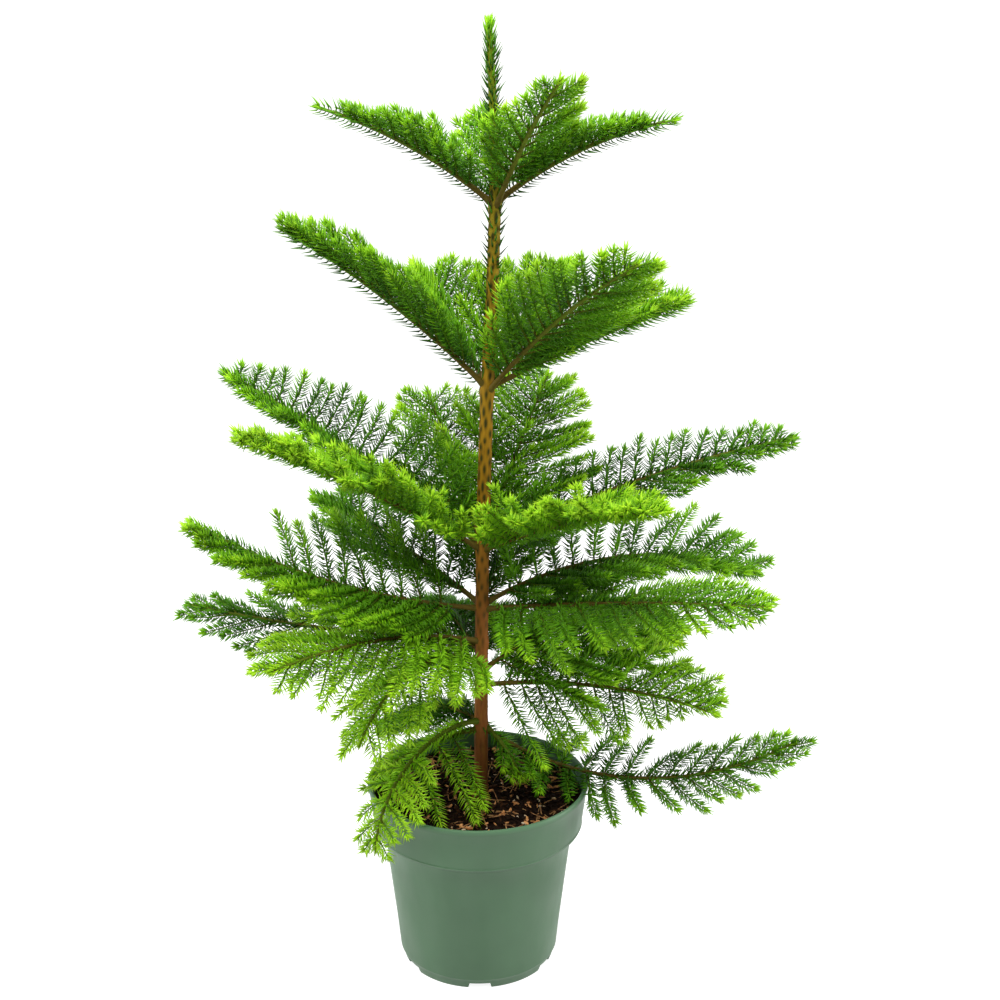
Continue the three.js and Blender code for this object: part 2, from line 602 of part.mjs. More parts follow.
// The tip blade of every rib, then the branchlets from the root outwards in turn
for (const mass of masses) {
  const { p, along, side } = ribAt(mass.bough, mass.bough.length - 16);
  const tip = blade(p, along, side, 20, 0.5, vec(0, 0, 0), 1);
  if (isClear(mass.foliage, tip)) {
    mass.pieces.push(tip);
    place(mass.foliage, tip);
  }
}
const queues = masses.map((mass) => branchletsOf(mass.bough, mass.index));
const longest = Math.max(...queues.map((queue) => queue.length));
for (let j = 0; j < longest; j += 1) {
  masses.forEach((mass, m) => {
    const twig = queues[m][j];
    if (!twig) return;
    for (const share of [1, 0.8, 0.62, 0.46]) {
      const length = twig.length * share;
      if (length < BRANCHLET_MIN * 0.8) break;
      const solid = bladeSolid(mass.bough, twig, length);
      if (isClear(mass.foliage, solid)) {
        mass.pieces.push(solid);
        place(mass.foliage, solid);
        return;
      }
    }
  });
}
for (const mass of masses) {
  group.add(meshFrom(mass.foliage, fuse(mass.pieces), COLOURS[tierOf(mass.bough)], 0.7));
}

export default group;
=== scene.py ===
"""Dressed model of a young norfolk island pine in a round nursery pot.

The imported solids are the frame. Pot, soil, trunk and boughs are modelled again with
their finish, and each foliage mass is grown finer from its own limb by the rule that
shaped its solid. Class fields are millimetres and degrees, +Z is up, and meshes are
written in metres.
"""

import logging
import math
from dataclasses import dataclass, replace
from enum import Enum
from functools import cache
from itertools import pairwise

import bpy
import numpy as np
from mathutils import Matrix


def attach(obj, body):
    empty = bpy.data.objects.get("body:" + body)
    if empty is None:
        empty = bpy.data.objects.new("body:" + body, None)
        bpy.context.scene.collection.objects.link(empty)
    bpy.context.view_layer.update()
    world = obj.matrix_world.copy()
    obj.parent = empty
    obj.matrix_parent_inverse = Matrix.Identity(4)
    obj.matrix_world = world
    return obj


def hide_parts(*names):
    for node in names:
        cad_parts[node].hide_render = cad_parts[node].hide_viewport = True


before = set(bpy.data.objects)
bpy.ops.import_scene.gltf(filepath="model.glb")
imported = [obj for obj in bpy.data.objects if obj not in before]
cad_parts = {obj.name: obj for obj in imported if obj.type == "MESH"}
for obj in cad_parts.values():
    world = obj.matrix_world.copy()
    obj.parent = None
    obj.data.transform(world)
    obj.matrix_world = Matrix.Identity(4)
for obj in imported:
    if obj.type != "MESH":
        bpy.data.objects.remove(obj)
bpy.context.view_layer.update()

LOG = logging.getLogger("pine")
MM = 0.001
GOLDEN_ANGLE = math.radians(137.508)
UP = np.array([0.0, 0.0, 1.0])
USUAL_STAR = 1.4
WHITE = (1.0, 1.0, 1.0, 1.0)
BODY = "root"

Array = np.ndarray
Colour = tuple[float, float, float]
Profile = list[tuple[float, float]]
Material = bpy.types.Material
Piece = bpy.types.Object
Socket = bpy.types.NodeSocket
Inputs = dict[str | int, Socket | float | tuple[float, ...]]


def unit(vectors: Array) -> Array:
    """Scale one vector, or rows of vectors, to length one."""
    size = np.linalg.norm(vectors, axis=-1, keepdims=True)
    return vectors / np.maximum(size, 1e-9)


def mix(first: float, last: float, share: Array | float) -> Array | float:
    """Blend two values, from the first at share 0 to the last at share 1."""
    return first + (last - first) * share


def toned(tone: Colour, gain: float) -> Colour:
    """Brighten or darken a colour."""
    return tuple(gain * part for part in tone)


class Shader:
    """Node tree of one material, built in plain steps."""

    def __init__(self, name: str) -> None:
        """Start a material with its shader.

        Args:
            name: Name of the material.
        """
        self.material = bpy.data.materials.new(name)
        self.material.use_nodes = True
        self.tree = self.material.node_tree
        self.body = self.tree.nodes["Principled BSDF"]
        self.place = self.add("TexCoord").outputs["Object"]

    def fill(self, node: bpy.types.Node, inputs: Inputs) -> None:
        """Lead sockets into a node and set its constants.

        Args:
            node: The node.
            inputs: A socket or a constant for each input that is named.
        """
        for key, value in inputs.items():
            if isinstance(value, Socket):
                self.tree.links.new(value, node.inputs[key])
            else:
                node.inputs[key].default_value = value

    def add(self, kind: str, inputs: Inputs | None = None) -> bpy.types.Node:
        """Add a node.

        Args:
            kind: Type of the node.
            inputs: What goes into it.

        Returns:
            The node.
        """
        made = self.tree.nodes.new(f"ShaderNode{kind}")
        self.fill(made, inputs or {})
        return made

    def noise(self, scale: float, detail: float, stretch: Colour = (1, 1, 1)) -> Socket:
        """Noise on object coordinates, in cells per metre, with finer octaves and a stretch."""
        mapped = self.add("Mapping", {"Vector": self.place, "Scale": stretch}).outputs["Vector"]
        return self.add("TexNoise", {"Vector": mapped, "Scale": scale, "Detail": detail}).outputs["Fac"]

    def attribute(self, name: str) -> Socket:
        """Read a value that the mesh carries.

        Args:
            name: Name of the mesh attribute.

        Returns:
            The value.
        """
        made = self.add("Attribute")
        made.attribute_name = name
        return made.outputs["Fac"]

    def height(self, low: float, high: float) -> Socket:
        """Share of the way up between two heights in millimetres."""
        parts = self.add("SeparateXYZ", {"Vector": self.place})
        return self.span(parts.outputs["Z"], low * MM, high * MM, 0.0, 1.0)

    def span(self, source: Socket, low: float, high: float, start: float, end: float) -> Socket:
        """Map a value so that low becomes start and high becomes end."""
        limits = {"From Min": low, "From Max": high, "To Min": start, "To Max": end}
        return self.add("MapRange", {"Value": source, **limits}).outputs["Result"]

    def ramp(self, source: Socket, stops: list[tuple[float, Colour]]) -> Socket:
        """Colour a value.

        Args:
            source: Value between 0 and 1.
            stops: Places and their colours, from low to high.

        Returns:
            The colour.
        """
        made = self.add("ValToRGB", {"Fac": source})
        elements = made.color_ramp.elements
        while len(elements) < len(stops):
            elements.new(0.5)
        for element, (place, colour) in zip(elements, stops):
            element.position = place
            element.color = (*colour, 1.0)
        return made.outputs["Color"]

    def blend(self, share: Socket, first: Socket, second: Colour) -> Socket:
        """Mix a plain colour into another.

        Args:
            share: Share of the plain colour.
            first: Colour at share 0.
            second: Plain colour, at share 1.

        Returns:
            The mixed colour.
        """
        made = self.add("Mix")
        made.data_type = "RGBA"
        self.fill(made, {"Factor": share, 6: first, 7: (*second, 1.0)})
        return made.outputs[2]

    def bump(self, source: Socket, depth: float, strength: float) -> None:
        """Give the surface a fine relief.

        Args:
            source: Height value.
            depth: Depth in millimetres.
            strength: Share of the relief that shows.
        """
        relief = {"Height": source, "Distance": depth * MM, "Strength": strength}
        made = self.add("Bump", relief)
        self.fill(self.body, {"Normal": made.outputs["Normal"]})

    def finish(self, colour: Socket, roughness: Socket, sheen: float) -> Material:
        """Close the material.

        Args:
            colour: Base colour.
            roughness: Roughness of the surface.
            sheen: Strength of its reflections.

        Returns:
            The material.
        """
        ends = {"Base Color": colour, "Roughness": roughness, "Specular IOR Level": sheen}
        self.fill(self.body, ends)
        return self.material


@dataclass(frozen=True)
class NeedleFinish:
    """Waxy green of one age of needle."""

    name: str
    tone: Colour
    roughness: float = 0.38
    sheen: float = 0.14

    def material(self) -> Material:
        """Build the finish: the tone shifts a little from spray to spray."""
        shader = Shader(self.name)
        red, green, blue = self.tone
        light = (1.22 * red, 1.14 * green, 1.1 * blue)
        stops = [(0.32, toned(self.tone, 0.72)), (0.5, self.tone), (0.68, light)]
        ground = shader.ramp(shader.noise(38.0, 2.0), stops)
        fine = shader.noise(420.0, 2.0)
        rough = shader.span(fine, 0.3, 0.7, self.roughness - 0.08, self.roughness + 0.1)
        return shader.finish(ground, rough, self.sheen)


class Tint(Enum):
    """Ages of needle, from old to new, which the boughs also use as steps of painted light."""

    DEEP = NeedleFinish("needle_deep", (0.023, 0.092, 0.003))
    MID = NeedleFinish("needle_mid", (0.057, 0.194, 0.005))
    FRESH = NeedleFinish("needle_fresh", (0.122, 0.352, 0.007))
    LIME = NeedleFinish("needle_lime", (0.245, 0.560, 0.010))
    BUD = NeedleFinish("needle_bud", (0.410, 0.750, 0.022))


@dataclass(frozen=True)
class BarkFinish:
    """Young bark of the trunk: red-brown at the foot, orange above, green at the tip."""

    name: str = "trunk_bark"
    foot: float = 164.0
    tip: float = 862.0
    fleck: Colour = (0.070, 0.038, 0.005)
    pale: Colour = (0.60, 0.36, 0.03)
    mark: Colour = (0.030, 0.034, 0.005)
    sheen: float = 0.14

    def material(self) -> Material:
        """Build the finish: colour by height, dark scale marks, flecks and fissures."""
        shader = Shader(self.name)
        tones = [
            (0.0, (0.150, 0.052, 0.014)),
            (0.10, (0.340, 0.112, 0.026)),
            (0.26, (0.300, 0.106, 0.020)),
            (0.40, (0.390, 0.175, 0.009)),
            (0.56, (0.400, 0.215, 0.010)),
            (0.70, (0.460, 0.290, 0.016)),
            (0.82, (0.300, 0.255, 0.010)),
            (1.0, (0.140, 0.280, 0.010)),
        ]
        ground = shader.ramp(shader.height(self.foot, self.tip), tones)
        fleck = shader.span(shader.noise(170.0, 4.0, (1.0, 1.0, 0.3)), 0.52, 0.78, 0.0, 0.75)
        ground = shader.blend(fleck, ground, self.fleck)
        pale = shader.span(shader.noise(95.0, 3.0, (1.0, 1.0, 0.22)), 0.55, 0.8, 0.0, 0.4)
        ground = shader.blend(pale, ground, self.pale)
        ground = shader.blend(shader.attribute("mark"), ground, self.mark)
        grain = shader.noise(520.0, 5.0, (1.0, 1.0, 0.25))
        shader.bump(grain, 0.5, 0.7)
        return shader.finish(ground, shader.span(grain, 0.2, 0.8, 0.5, 0.82), self.sheen)


@dataclass(frozen=True)
class RibFinish:
    """Bark of a bough or twig: brown where it is old, green towards its end."""

    name: str
    old: Colour
    young: Colour
    turn: tuple[float, float]
    sheen: float = 0.14

    def material(self) -> Material:
        """Build the finish: the mesh value along runs from the root to the end."""
        shader = Shader(self.name)
        first, last = self.turn
        stops = [(0.0, self.old), (first, self.old), (last, self.young), (1.0, self.young)]
        ground = shader.ramp(shader.attribute("along"), stops)
        fleck = shader.span(shader.noise(260.0, 3.0), 0.5, 0.72, 0.0, 0.6)
        ground = shader.blend(fleck, ground, toned(self.old, 0.55))
        grain = shader.noise(700.0, 4.0)
        shader.bump(grain, 0.3, 0.6)
        return shader.finish(ground, shader.span(grain, 0.25, 0.75, 0.5, 0.8), self.sheen)


@dataclass(frozen=True)
class PotFinish:
    """Satin sage-green moulded plastic."""

    name: str = "pot_plastic"
    tone: Colour = (0.081, 0.170, 0.088)
    # Painted highlight: between these heights the lip's top is made lighter.
    lip_highlight_span: tuple[float, float] = (175.5, 179.5)
    lip_highlight_gain: float = 1.32
    # Painted shadow: between these heights the wall under the band's edge is darkened.
    band_shadow_span: tuple[float, float, float] = (129.5, 134.8, 137.4)
    band_shadow_gain: float = 0.4
    sheen: float = 0.45

    def material(self) -> Material:
        """Build the finish: a soft mottle, a painted highlight on the lip, a painted shadow under the
        band, moulding grain and worn gloss.
        """
        shader = Shader(self.name)
        stops = [(0.3, toned(self.tone, 0.9)), (0.5, self.tone), (0.7, toned(self.tone, 1.1))]
        ground = shader.ramp(shader.noise(14.0, 3.0), stops)
        # Painted highlight along the top of the lip.
        ground = shader.blend(shader.height(*self.lip_highlight_span), ground, toned(self.tone, self.lip_highlight_gain))
        # Painted shadow: a thin dark line just under the band's edge.
        low, high, end = self.band_shadow_span
        above = shader.span(shader.height(high, end), 0.0, 1.0, 1.0, 0.0)
        band_shadow = shader.add("Math", {0: shader.height(low, high), 1: above})
        band_shadow.operation = "MULTIPLY"
        ground = shader.blend(band_shadow.outputs["Value"], ground, toned(self.tone, self.band_shadow_gain))
        shader.bump(shader.noise(1500.0, 2.0), 0.06, 0.35)
        scuff = shader.noise(60.0, 5.0, (1.0, 1.0, 0.35))
        return shader.finish(ground, shader.span(scuff, 0.3, 0.7, 0.40, 0.54), self.sheen)


@dataclass(frozen=True)
class EarthFinish:
    """Rough finish of the soil, its bark chips or its fibres."""

    name: str
    tone: Colour
    second: Colour
    scale: float
    depth: float = 0.8
    sheen: float = 0.06

    def material(self) -> Material:
        """Build the finish: two tones in grains, rough all over."""
        shader = Shader(self.name)
        grain = shader.noise(self.scale, 6.0)
        shader.bump(grain, self.depth, 0.8)
        ground = shader.ramp(grain, [(0.36, self.tone), (0.66, self.second)])
        return shader.finish(ground, shader.span(grain, 0.3, 0.7, 0.72, 0.94), self.sheen)


class MeshStack:
    """Many small closed shapes that are joined into one mesh."""

    def __init__(self) -> None:
        """Start an empty stack."""
        self.points: list[Array] = []
        self.faces: list[Array] = []
        self.values: list[Array] = []
        self.count = 0

    def add(self, points: Array, faces: Array, values: Array | None = None) -> None:
        """Put shapes on the stack.

        Args:
            points: Corner points in millimetres.
            faces: Triangles that count from this call's first point.
            values: A value for each point, where the finish reads one.
        """
        self.points.append(points)
        self.faces.append(faces + self.count)
        self.values.append(np.zeros(len(points)) if values is None else values)
        self.count += len(points)

    def write(self, name: str, finish: Material, value_name: str = "") -> Piece:
        """Write the stack as one mesh object.

        Args:
            name: Name of the piece.
            finish: Material of the piece.
            value_name: Mesh attribute that takes the points' values, if any.

        Returns:
            The new object.
        """
        points = np.concatenate(self.points) * MM
        faces = np.concatenate(self.faces)
        mesh = bpy.data.meshes.new(name)
        mesh.vertices.add(len(points))
        mesh.vertices.foreach_set("co", points.astype(np.float32).ravel())
        mesh.loops.add(faces.size)
        mesh.loops.foreach_set("vertex_index", faces.astype(np.int32).ravel())
        mesh.polygons.add(len(faces))
        mesh.polygons.foreach_set("loop_start", np.arange(0, faces.size, 3, dtype=np.int32))
        mesh.polygons.foreach_set("use_smooth", np.ones(len(faces), dtype=bool))
        mesh.update(calc_edges=True)
        if value_name:
            layer = mesh.attributes.new(value_name, "FLOAT", "POINT")
            layer.data.foreach_set("value", np.concatenate(self.values).astype(np.float32))
        mesh.materials.append(finish)
        piece = bpy.data.objects.new(name, mesh)
        bpy.context.collection.objects.link(piece)
        return piece


def settle(piece: Piece, nodes: list[str]) -> None:
    """Put a finished piece on the frame.

    Args:
        piece: The finished piece.
        nodes: Solids that the piece stands for.
    """
    if nodes:
        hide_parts(*nodes)
    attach(piece, BODY)
    LOG.info("%s: %d faces", piece.name, len(piece.data.polygons))


def tube(points: Array, radii: Array, sides: int) -> tuple[Array, Array, Array]:
    """Closed round limb along a line of points.

    Args:
        points: Centre line, root first.
        radii: Radius at each point.
        sides: Number of sides.

    Returns:
        Points, triangles and the share along the limb at each point.
    """
    count = len(points)
    along = unit(np.gradient(points, axis=0))
    guide = np.array([0.31, 0.17, 0.93]) if abs(along[0][2]) < 0.9 else np.array([0.9, 0.1, 0.2])
    side = unit(np.cross(along, guide))
    top = np.cross(along, side)
    turn = np.arange(sides) * 2 * math.pi / sides
    ring = side[:, None] * np.cos(turn)[None, :, None] + top[:, None] * np.sin(turn)[None, :, None]
    skin = (points[:, None] + ring * radii[:, None, None]).reshape(-1, 3)
    ends = np.stack([points[0] - along[0] * radii[0] * 0.3, points[-1] + along[-1] * radii[-1]])
    k = np.arange(sides)
    n = (k + 1) % sides
    rows = np.arange(count - 1)[:, None] * sides
    low, low_next = rows + k, rows + n
    high, high_next = low + sides, low_next + sides
    walls = np.concatenate(
        [np.stack([low, low_next, high_next], -1), np.stack([low, high_next, high], -1)]
    ).reshape(-1, 3)
    last = (count - 1) * sides
    foot = np.stack([n, k, np.full(sides, count * sides)], -1)
    cap = np.stack([last + k, last + n, np.full(sides, count * sides + 1)], -1)
    share = np.concatenate([np.repeat(np.linspace(0, 1, count), sides), [0.0, 1.0]])
    return np.concatenate([skin, ends]), np.concatenate([walls, foot, cap]), share


@dataclass(frozen=True)
class NeedleShape:
    """Awl-shaped needle of few faces: pointed root, one ring where it bends, and a tip."""

    ring_share: float = 0.3
    thickness: float = 0.78

    def make(
        self, roots: Array, first: Array, second: Array, length: Array, width: Array
    ) -> tuple[Array, Array]:
        """Make many needles.

        Args:
            roots: Root points.
            first: Directions at the roots.
            second: Directions of the outer parts.
            length: Length of each needle.
            width: Greatest width of each needle.

        Returns:
            Points and triangles.
        """
        guide = unit(second + np.array([0.013, 0.021, 0.017]))
        side = unit(np.cross(first, guide))
        top = np.cross(first, side)
        long = length[:, None]
        middle = roots + first * long * self.ring_share
        tip = middle + second * long * (1 - self.ring_share)
        turn = np.radians([90.0, 210.0, 330.0])
        ring = (
            side[:, None] * np.cos(turn)[None, :, None]
            + top[:, None] * (np.sin(turn) * self.thickness)[None, :, None]
        ) * (width[:, None, None] / 2)
        points = np.concatenate([roots[:, None], middle[:, None] + ring, tip[:, None]], axis=1)
        pattern = []
        for k in range(3):
            n = (k + 1) % 3
            pattern += [(1 + n, 1 + k, 0), (1 + k, 1 + n, 4)]
        faces = np.array(pattern)[None] + (np.arange(len(roots)) * 5)[:, None, None]
        return points.reshape(-1, 3), faces.reshape(-1, 3)


@dataclass
class Pot:
    """Round nursery pot: foot with notches, tapering wall, stepped band and rolled lip."""

    height: float = 180.0
    rim_radius: float = 102.5
    lip_width: float = 4.2
    band_foot_z: float = 137.5
    band_foot_radius: float = 96.5
    wall_top_z: float = 133.5
    wall_top_radius: float = 87.9
    wall_foot_z: float = 10.0
    wall_foot_radius: float = 73.4
    foot_radius: float = 68.8
    wall: float = 2.2
    floor_top: float = 8.4
    notch_count: int = 6
    notch_width: float = 24.4
    notch_height: float = 6.0
    notch_first: float = -88.5
    segments: int = 160

    def profile(self) -> Profile:
        """Section of the pot from the outer foot over the lip to the inner floor.

        Returns:
            Radius and height of each ring.
        """
        foot, wall, neck = self.foot_radius, self.wall_foot_radius, self.wall_top_radius
        band, rim = self.band_foot_radius, self.rim_radius
        wall_z, neck_z, band_z = self.wall_foot_z, self.wall_top_z, self.band_foot_z
        ring = [(foot, 0.0), (foot + 1.4, 0.7), (foot + 2.2, 2.4)]
        ring += [(wall - 1.2, 7.0), (wall, wall_z), (wall + 0.7, wall_z + 0.9)]
        for share in (0.2, 0.4, 0.6, 0.8, 1.0):
            ring.append((mix(wall + 0.6, neck, share), mix(wall_z + 4, neck_z, share)))
        ring += [(neck + 0.7, neck_z + 0.9), (neck + 0.7 + 1.6, neck_z + 1.5), (band - 2.0, band_z - 1.9)]
        for turn in (20, 45, 70, 90):
            a = math.radians(turn)
            ring.append((band - 1.5 + 1.5 * math.sin(a), band_z - 0.4 - 1.5 * math.cos(a)))
        for out, up in ((0.5, 0.3), (0.75, 0.9), (0.7, 1.5), (0.32, 2.1)):
            ring.append((band + out, band_z + up))
        for share in (0.35, 0.7):
            ring.append((mix(band, rim - 1.4, share), mix(band_z, self.height - 7.4, share)))
        ring += [(rim - 1.4, self.height - 7.4), (rim - 0.9, self.height - 6.4)]
        half = self.lip_width / 2
        for step in range(7):
            a = math.pi * step / 6
            ring.append((rim - half + half * math.cos(a), self.height - 3 + 3 * math.sin(a) ** 0.8))
        ring += [(rim - self.lip_width, self.height - 6), (band - self.wall, band_z + 0.6)]
        ring += [(neck - self.wall, neck_z + 2), (wall - self.wall, wall_z)]
        ring += [(foot - 6, self.floor_top)]
        return ring

    def build(self) -> Piece:
        """Model the pot ring by ring and cut the notches in its foot.

        Returns:
            The pot.
        """
        pot = turned_body("nursery_pot", self.profile(), self.segments)
        for k in range(self.notch_count):
            self.cut_notch(pot, math.radians(self.notch_first + 360 / self.notch_count * k))
        bpy.ops.object.select_all(action="DESELECT")
        pot.select_set(True)
        bpy.context.view_layer.objects.active = pot
        bpy.ops.object.shade_smooth_by_angle(angle=math.radians(32))
        return pot

    def cut_notch(self, pot: Piece, turn: float) -> None:
        """Cut one notch into the foot with a block whose sides lean in.

        Args:
            pot: The pot that is cut.
            turn: Azimuth of the notch in radians.
        """
        bpy.ops.object.select_all(action="DESELECT")
        reach = self.foot_radius + 1
        bpy.ops.mesh.primitive_cube_add(size=MM)
        block = bpy.context.object
        bpy.ops.object.mode_set(mode="EDIT")
        bpy.ops.transform.resize(value=(22.0, self.notch_width, 2 * self.notch_height))
        bpy.ops.mesh.select_all(action="DESELECT")
        bpy.ops.object.mode_set(mode="OBJECT")
        for face in block.data.polygons:
            face.select = face.normal.z > 0.9
        bpy.ops.object.mode_set(mode="EDIT")
        bpy.ops.mesh.select_mode(type="FACE")
        bpy.ops.transform.resize(value=(1.0, 0.78, 1.0))
        bpy.ops.object.mode_set(mode="OBJECT")
        block.location = (reach * math.cos(turn) * MM, reach * math.sin(turn) * MM, 0.0)
        block.rotation_euler = (0.0, 0.0, turn)
        bpy.context.view_layer.update()
        cut = pot.modifiers.new("notch", "BOOLEAN")
        cut.operation = "DIFFERENCE"
        cut.solver = "EXACT"
        cut.object = block
        bpy.context.view_layer.objects.active = pot
        bpy.ops.object.modifier_apply(modifier=cut.name)
        bpy.data.objects.remove(block, do_unlink=True)

    def inner_radius(self, z: Array) -> Array:
        """Inside radius of the wall at some heights."""
        heights = [self.wall_foot_z, self.wall_top_z + 2, self.band_foot_z + 0.6, self.height - 6]
        radii = [
            self.wall_foot_radius - self.wall,
            self.wall_top_radius - self.wall,
            self.band_foot_radius - self.wall,
            self.rim_radius - self.lip_width,
        ]
        return np.interp(z, heights, radii)

    def dress(self, pot: Piece) -> None:
        """Give the pot its plastic and put it on the frame."""
        pot.data.materials.clear()
        pot.data.materials.append(PotFinish().material())
        settle(pot, ["pot"])


def turned_body(name: str, profile: Profile, segments: int) -> Piece:
    """Model a turned body: a filled circle, extruded and resized ring by ring.

    Args:
        name: Name of the piece.
        profile: Radius and height of each ring, in millimetres.
        segments: Number of segments round the axis.

    Returns:
        The closed body.
    """
    bpy.ops.object.select_all(action="DESELECT")
    radius, z = profile[0]
    bpy.ops.mesh.primitive_circle_add(
        vertices=segments, radius=radius * MM, fill_type="NGON", location=(0.0, 0.0, 0.0)
    )
    body = bpy.context.object
    body.name = name
    body.data.name = name
    bpy.ops.object.mode_set(mode="EDIT")
    bpy.ops.mesh.select_all(action="SELECT")
    bpy.ops.transform.translate(value=(0.0, 0.0, z * MM))
    for (r0, z0), (r1, z1) in pairwise(profile):
        bpy.ops.mesh.extrude_region_move(TRANSFORM_OT_translate={"value": (0.0, 0.0, (z1 - z0) * MM)})
        bpy.ops.transform.resize(value=(r1 / r0, r1 / r0, 1.0), center_override=(0.0, 0.0, z1 * MM))
    bpy.ops.mesh.select_all(action="SELECT")
    bpy.ops.mesh.normals_make_consistent(inside=False)
    bpy.ops.object.mode_set(mode="OBJECT")
    return body


@dataclass
class Soil:
    """Potting mix: a lumpy body, bark chips in three browns, pale bits and fibres."""

    pot: Pot
    top_z: float = 164.0
    floor_z: float = 8.8
    edge_clearance: float = 1.2
    ring_step: float = 3.6
    lump: float = 2.2
    segments: int = 150
    fibre_count: int = 96
    chip_outline: tuple[tuple[float, float], ...] = (
        (-0.5, -0.28), (-0.12, -0.5), (0.42, -0.34), (0.5, 0.12), (0.1, 0.5), (-0.42, 0.3),
    )
    seed: int = 11

    def profile(self) -> Profile:
        """Section of the soil from its underside to the middle of its top.

        Returns:
            Radius and height of each ring.
        """
        rings = [(self.pot.foot_radius - 6.6, self.floor_z)]
        for place, z in ((11, 11), (60, 60), (108, 108), (132, 136.5), (142, 142), (160, 160)):
            rings.append((float(self.pot.inner_radius(np.array(place))) - self.edge_clearance, z))
        radius = rings[-1][0] - 1.2
        while radius > self.ring_step:
            rings.append((radius, self.top_z))
            radius -= self.ring_step
        return rings

    def edge(self) -> float:
        """Inside radius of the pot at the soil's top."""
        return float(self.pot.inner_radius(np.array(self.top_z)))

    def surface(self, x: Array, y: Array) -> Array:
        """Height of the lumpy top.

        Args:
            x: Places along X in millimetres.
            y: Places along Y in millimetres.

        Returns:
            Heights in millimetres.
        """
        rng = np.random.default_rng(self.seed)
        height = np.zeros_like(x)
        for scale, weight in ((0.05, 1.0), (0.11, 0.7), (0.24, 0.5), (0.5, 0.38)):
            for _ in range(4):
                turn = rng.uniform(0, 2 * math.pi)
                shift = rng.uniform(0, 2 * math.pi)
                across = x * math.cos(turn) + y * math.sin(turn)
                height += weight * np.sin(scale * across * 2 + shift) / 4
        return self.top_z + self.lump * height

    def build(self) -> Piece:
        """Model the soil's body and lift its top into lumps.

        Returns:
            The body.
        """
        body = turned_body("soil_body", self.profile(), self.segments)
        count = len(body.data.vertices)
        points = np.empty(count * 3)
        body.data.vertices.foreach_get("co", points)
        points = points.reshape(-1, 3) / MM
        top = points[:, 2] > self.top_z - 0.5
        rng = np.random.default_rng(self.seed + 1)
        points[top, 2] = self.surface(points[top, 0], points[top, 1]) + rng.normal(0, 0.5, top.sum())
        body.data.vertices.foreach_set("co", (points * MM).ravel())
        body.data.update()
        body.data.materials.append(
            EarthFinish("soil_dark", (0.007, 0.004, 0.003), (0.030, 0.013, 0.007), 320.0, 1.6).material()
        )
        return body

    def scatter(self, count: int, seed: int, trunk_clear: float = 9.0) -> tuple[Array, Array]:
        """Places on the soil's top, clear of the wall and the trunk.

        Args:
            count: Number of places.
            seed: Seed of the draw.
            trunk_clear: Distance kept from the trunk's foot.

        Returns:
            Places and the generator for further draws.
        """
        rng = np.random.default_rng(seed)
        radius = (self.edge() - 5.0) * np.sqrt(rng.uniform(0, 1, count))
        turn = rng.uniform(0, 2 * math.pi, count)
        x = radius * np.cos(turn)
        y = radius * np.sin(turn)
        keep = np.hypot(x - TRUNK_FOOT[0], y - TRUNK_FOOT[1]) > trunk_clear
        places = np.stack([x, y, self.surface(x, y)], -1)[keep]
        return places, rng

    def chips(self, count: int, seed: int, size: tuple[float, float], lift: float) -> MeshStack:
        """Bark chips: flat, uneven six-sided splinters lying on the soil.

        Args:
            count: Number of chips.
            seed: Seed of the draw.
            size: Least and greatest length.
            lift: Height of a chip's middle above the soil.

        Returns:
            The chips.
        """
        places, rng = self.scatter(count, seed)
        stack = MeshStack()
        for place in places:
            length = rng.uniform(*size)
            width = length * rng.uniform(0.22, 0.52)
            thick = rng.uniform(0.7, 1.5)
            turn = rng.uniform(0, 2 * math.pi)
            along = unit(np.array([math.cos(turn), math.sin(turn), rng.normal(0, 0.28)]))
            side = unit(np.cross(UP + rng.normal(0, 0.25, 3), along))
            top = np.cross(along, side)
            flat = np.array(self.chip_outline) * rng.uniform(0.75, 1.2, (6, 2))
            base = place + along * flat[:, :1] * length + side * flat[:, 1:] * width
            upper = base * 0.94 + place * 0.06 + top * thick / 2
            points = np.concatenate([base - top * thick / 2, upper])
            points[:, 2] += lift
            faces = [(0, k + 1, k) for k in range(1, 5)]
            faces += [(6, 6 + k, 7 + k) for k in range(1, 5)]
            for k in range(6):
                n = (k + 1) % 6
                faces += [(k, n, 6 + n), (k, 6 + n, 6 + k)]
            stack.add(points, np.array(faces))
        return stack

    def fibres(self, count: int, seed: int) -> MeshStack:
        """Thin bent twigs and fibres lying on the soil.

        Args:
            count: Number of fibres.
            seed: Seed of the draw.

        Returns:
            The fibres.
        """
        places, rng = self.scatter(count, seed, 12.0)
        stack = MeshStack()
        limit = self.edge() - 2.0
        for place in places:
            length = rng.uniform(12.0, 38.0)
            turn = rng.uniform(0, 2 * math.pi)
            bend = rng.normal(0, 0.5)
            t = np.linspace(-0.5, 0.5, 6)
            line = np.stack(
                [
                    place[0] + length * t * math.cos(turn + bend) - bend * 6 * t**2 * math.sin(turn),
                    place[1] + length * t * math.sin(turn + bend) + bend * 6 * t**2 * math.cos(turn),
                    np.zeros(6),
                ],
                -1,
            )
            reach = np.hypot(line[:, 0], line[:, 1]).max()
            if reach > limit:
                line[:, :2] *= limit / reach
            line[:, 2] = self.surface(line[:, 0], line[:, 1]) + 1.4 + rng.normal(0, 0.3, 6)
            stack.add(*tube(line, np.linspace(0.62, 0.34, 6) * rng.uniform(0.7, 1.3), 5)[:2])
        return stack

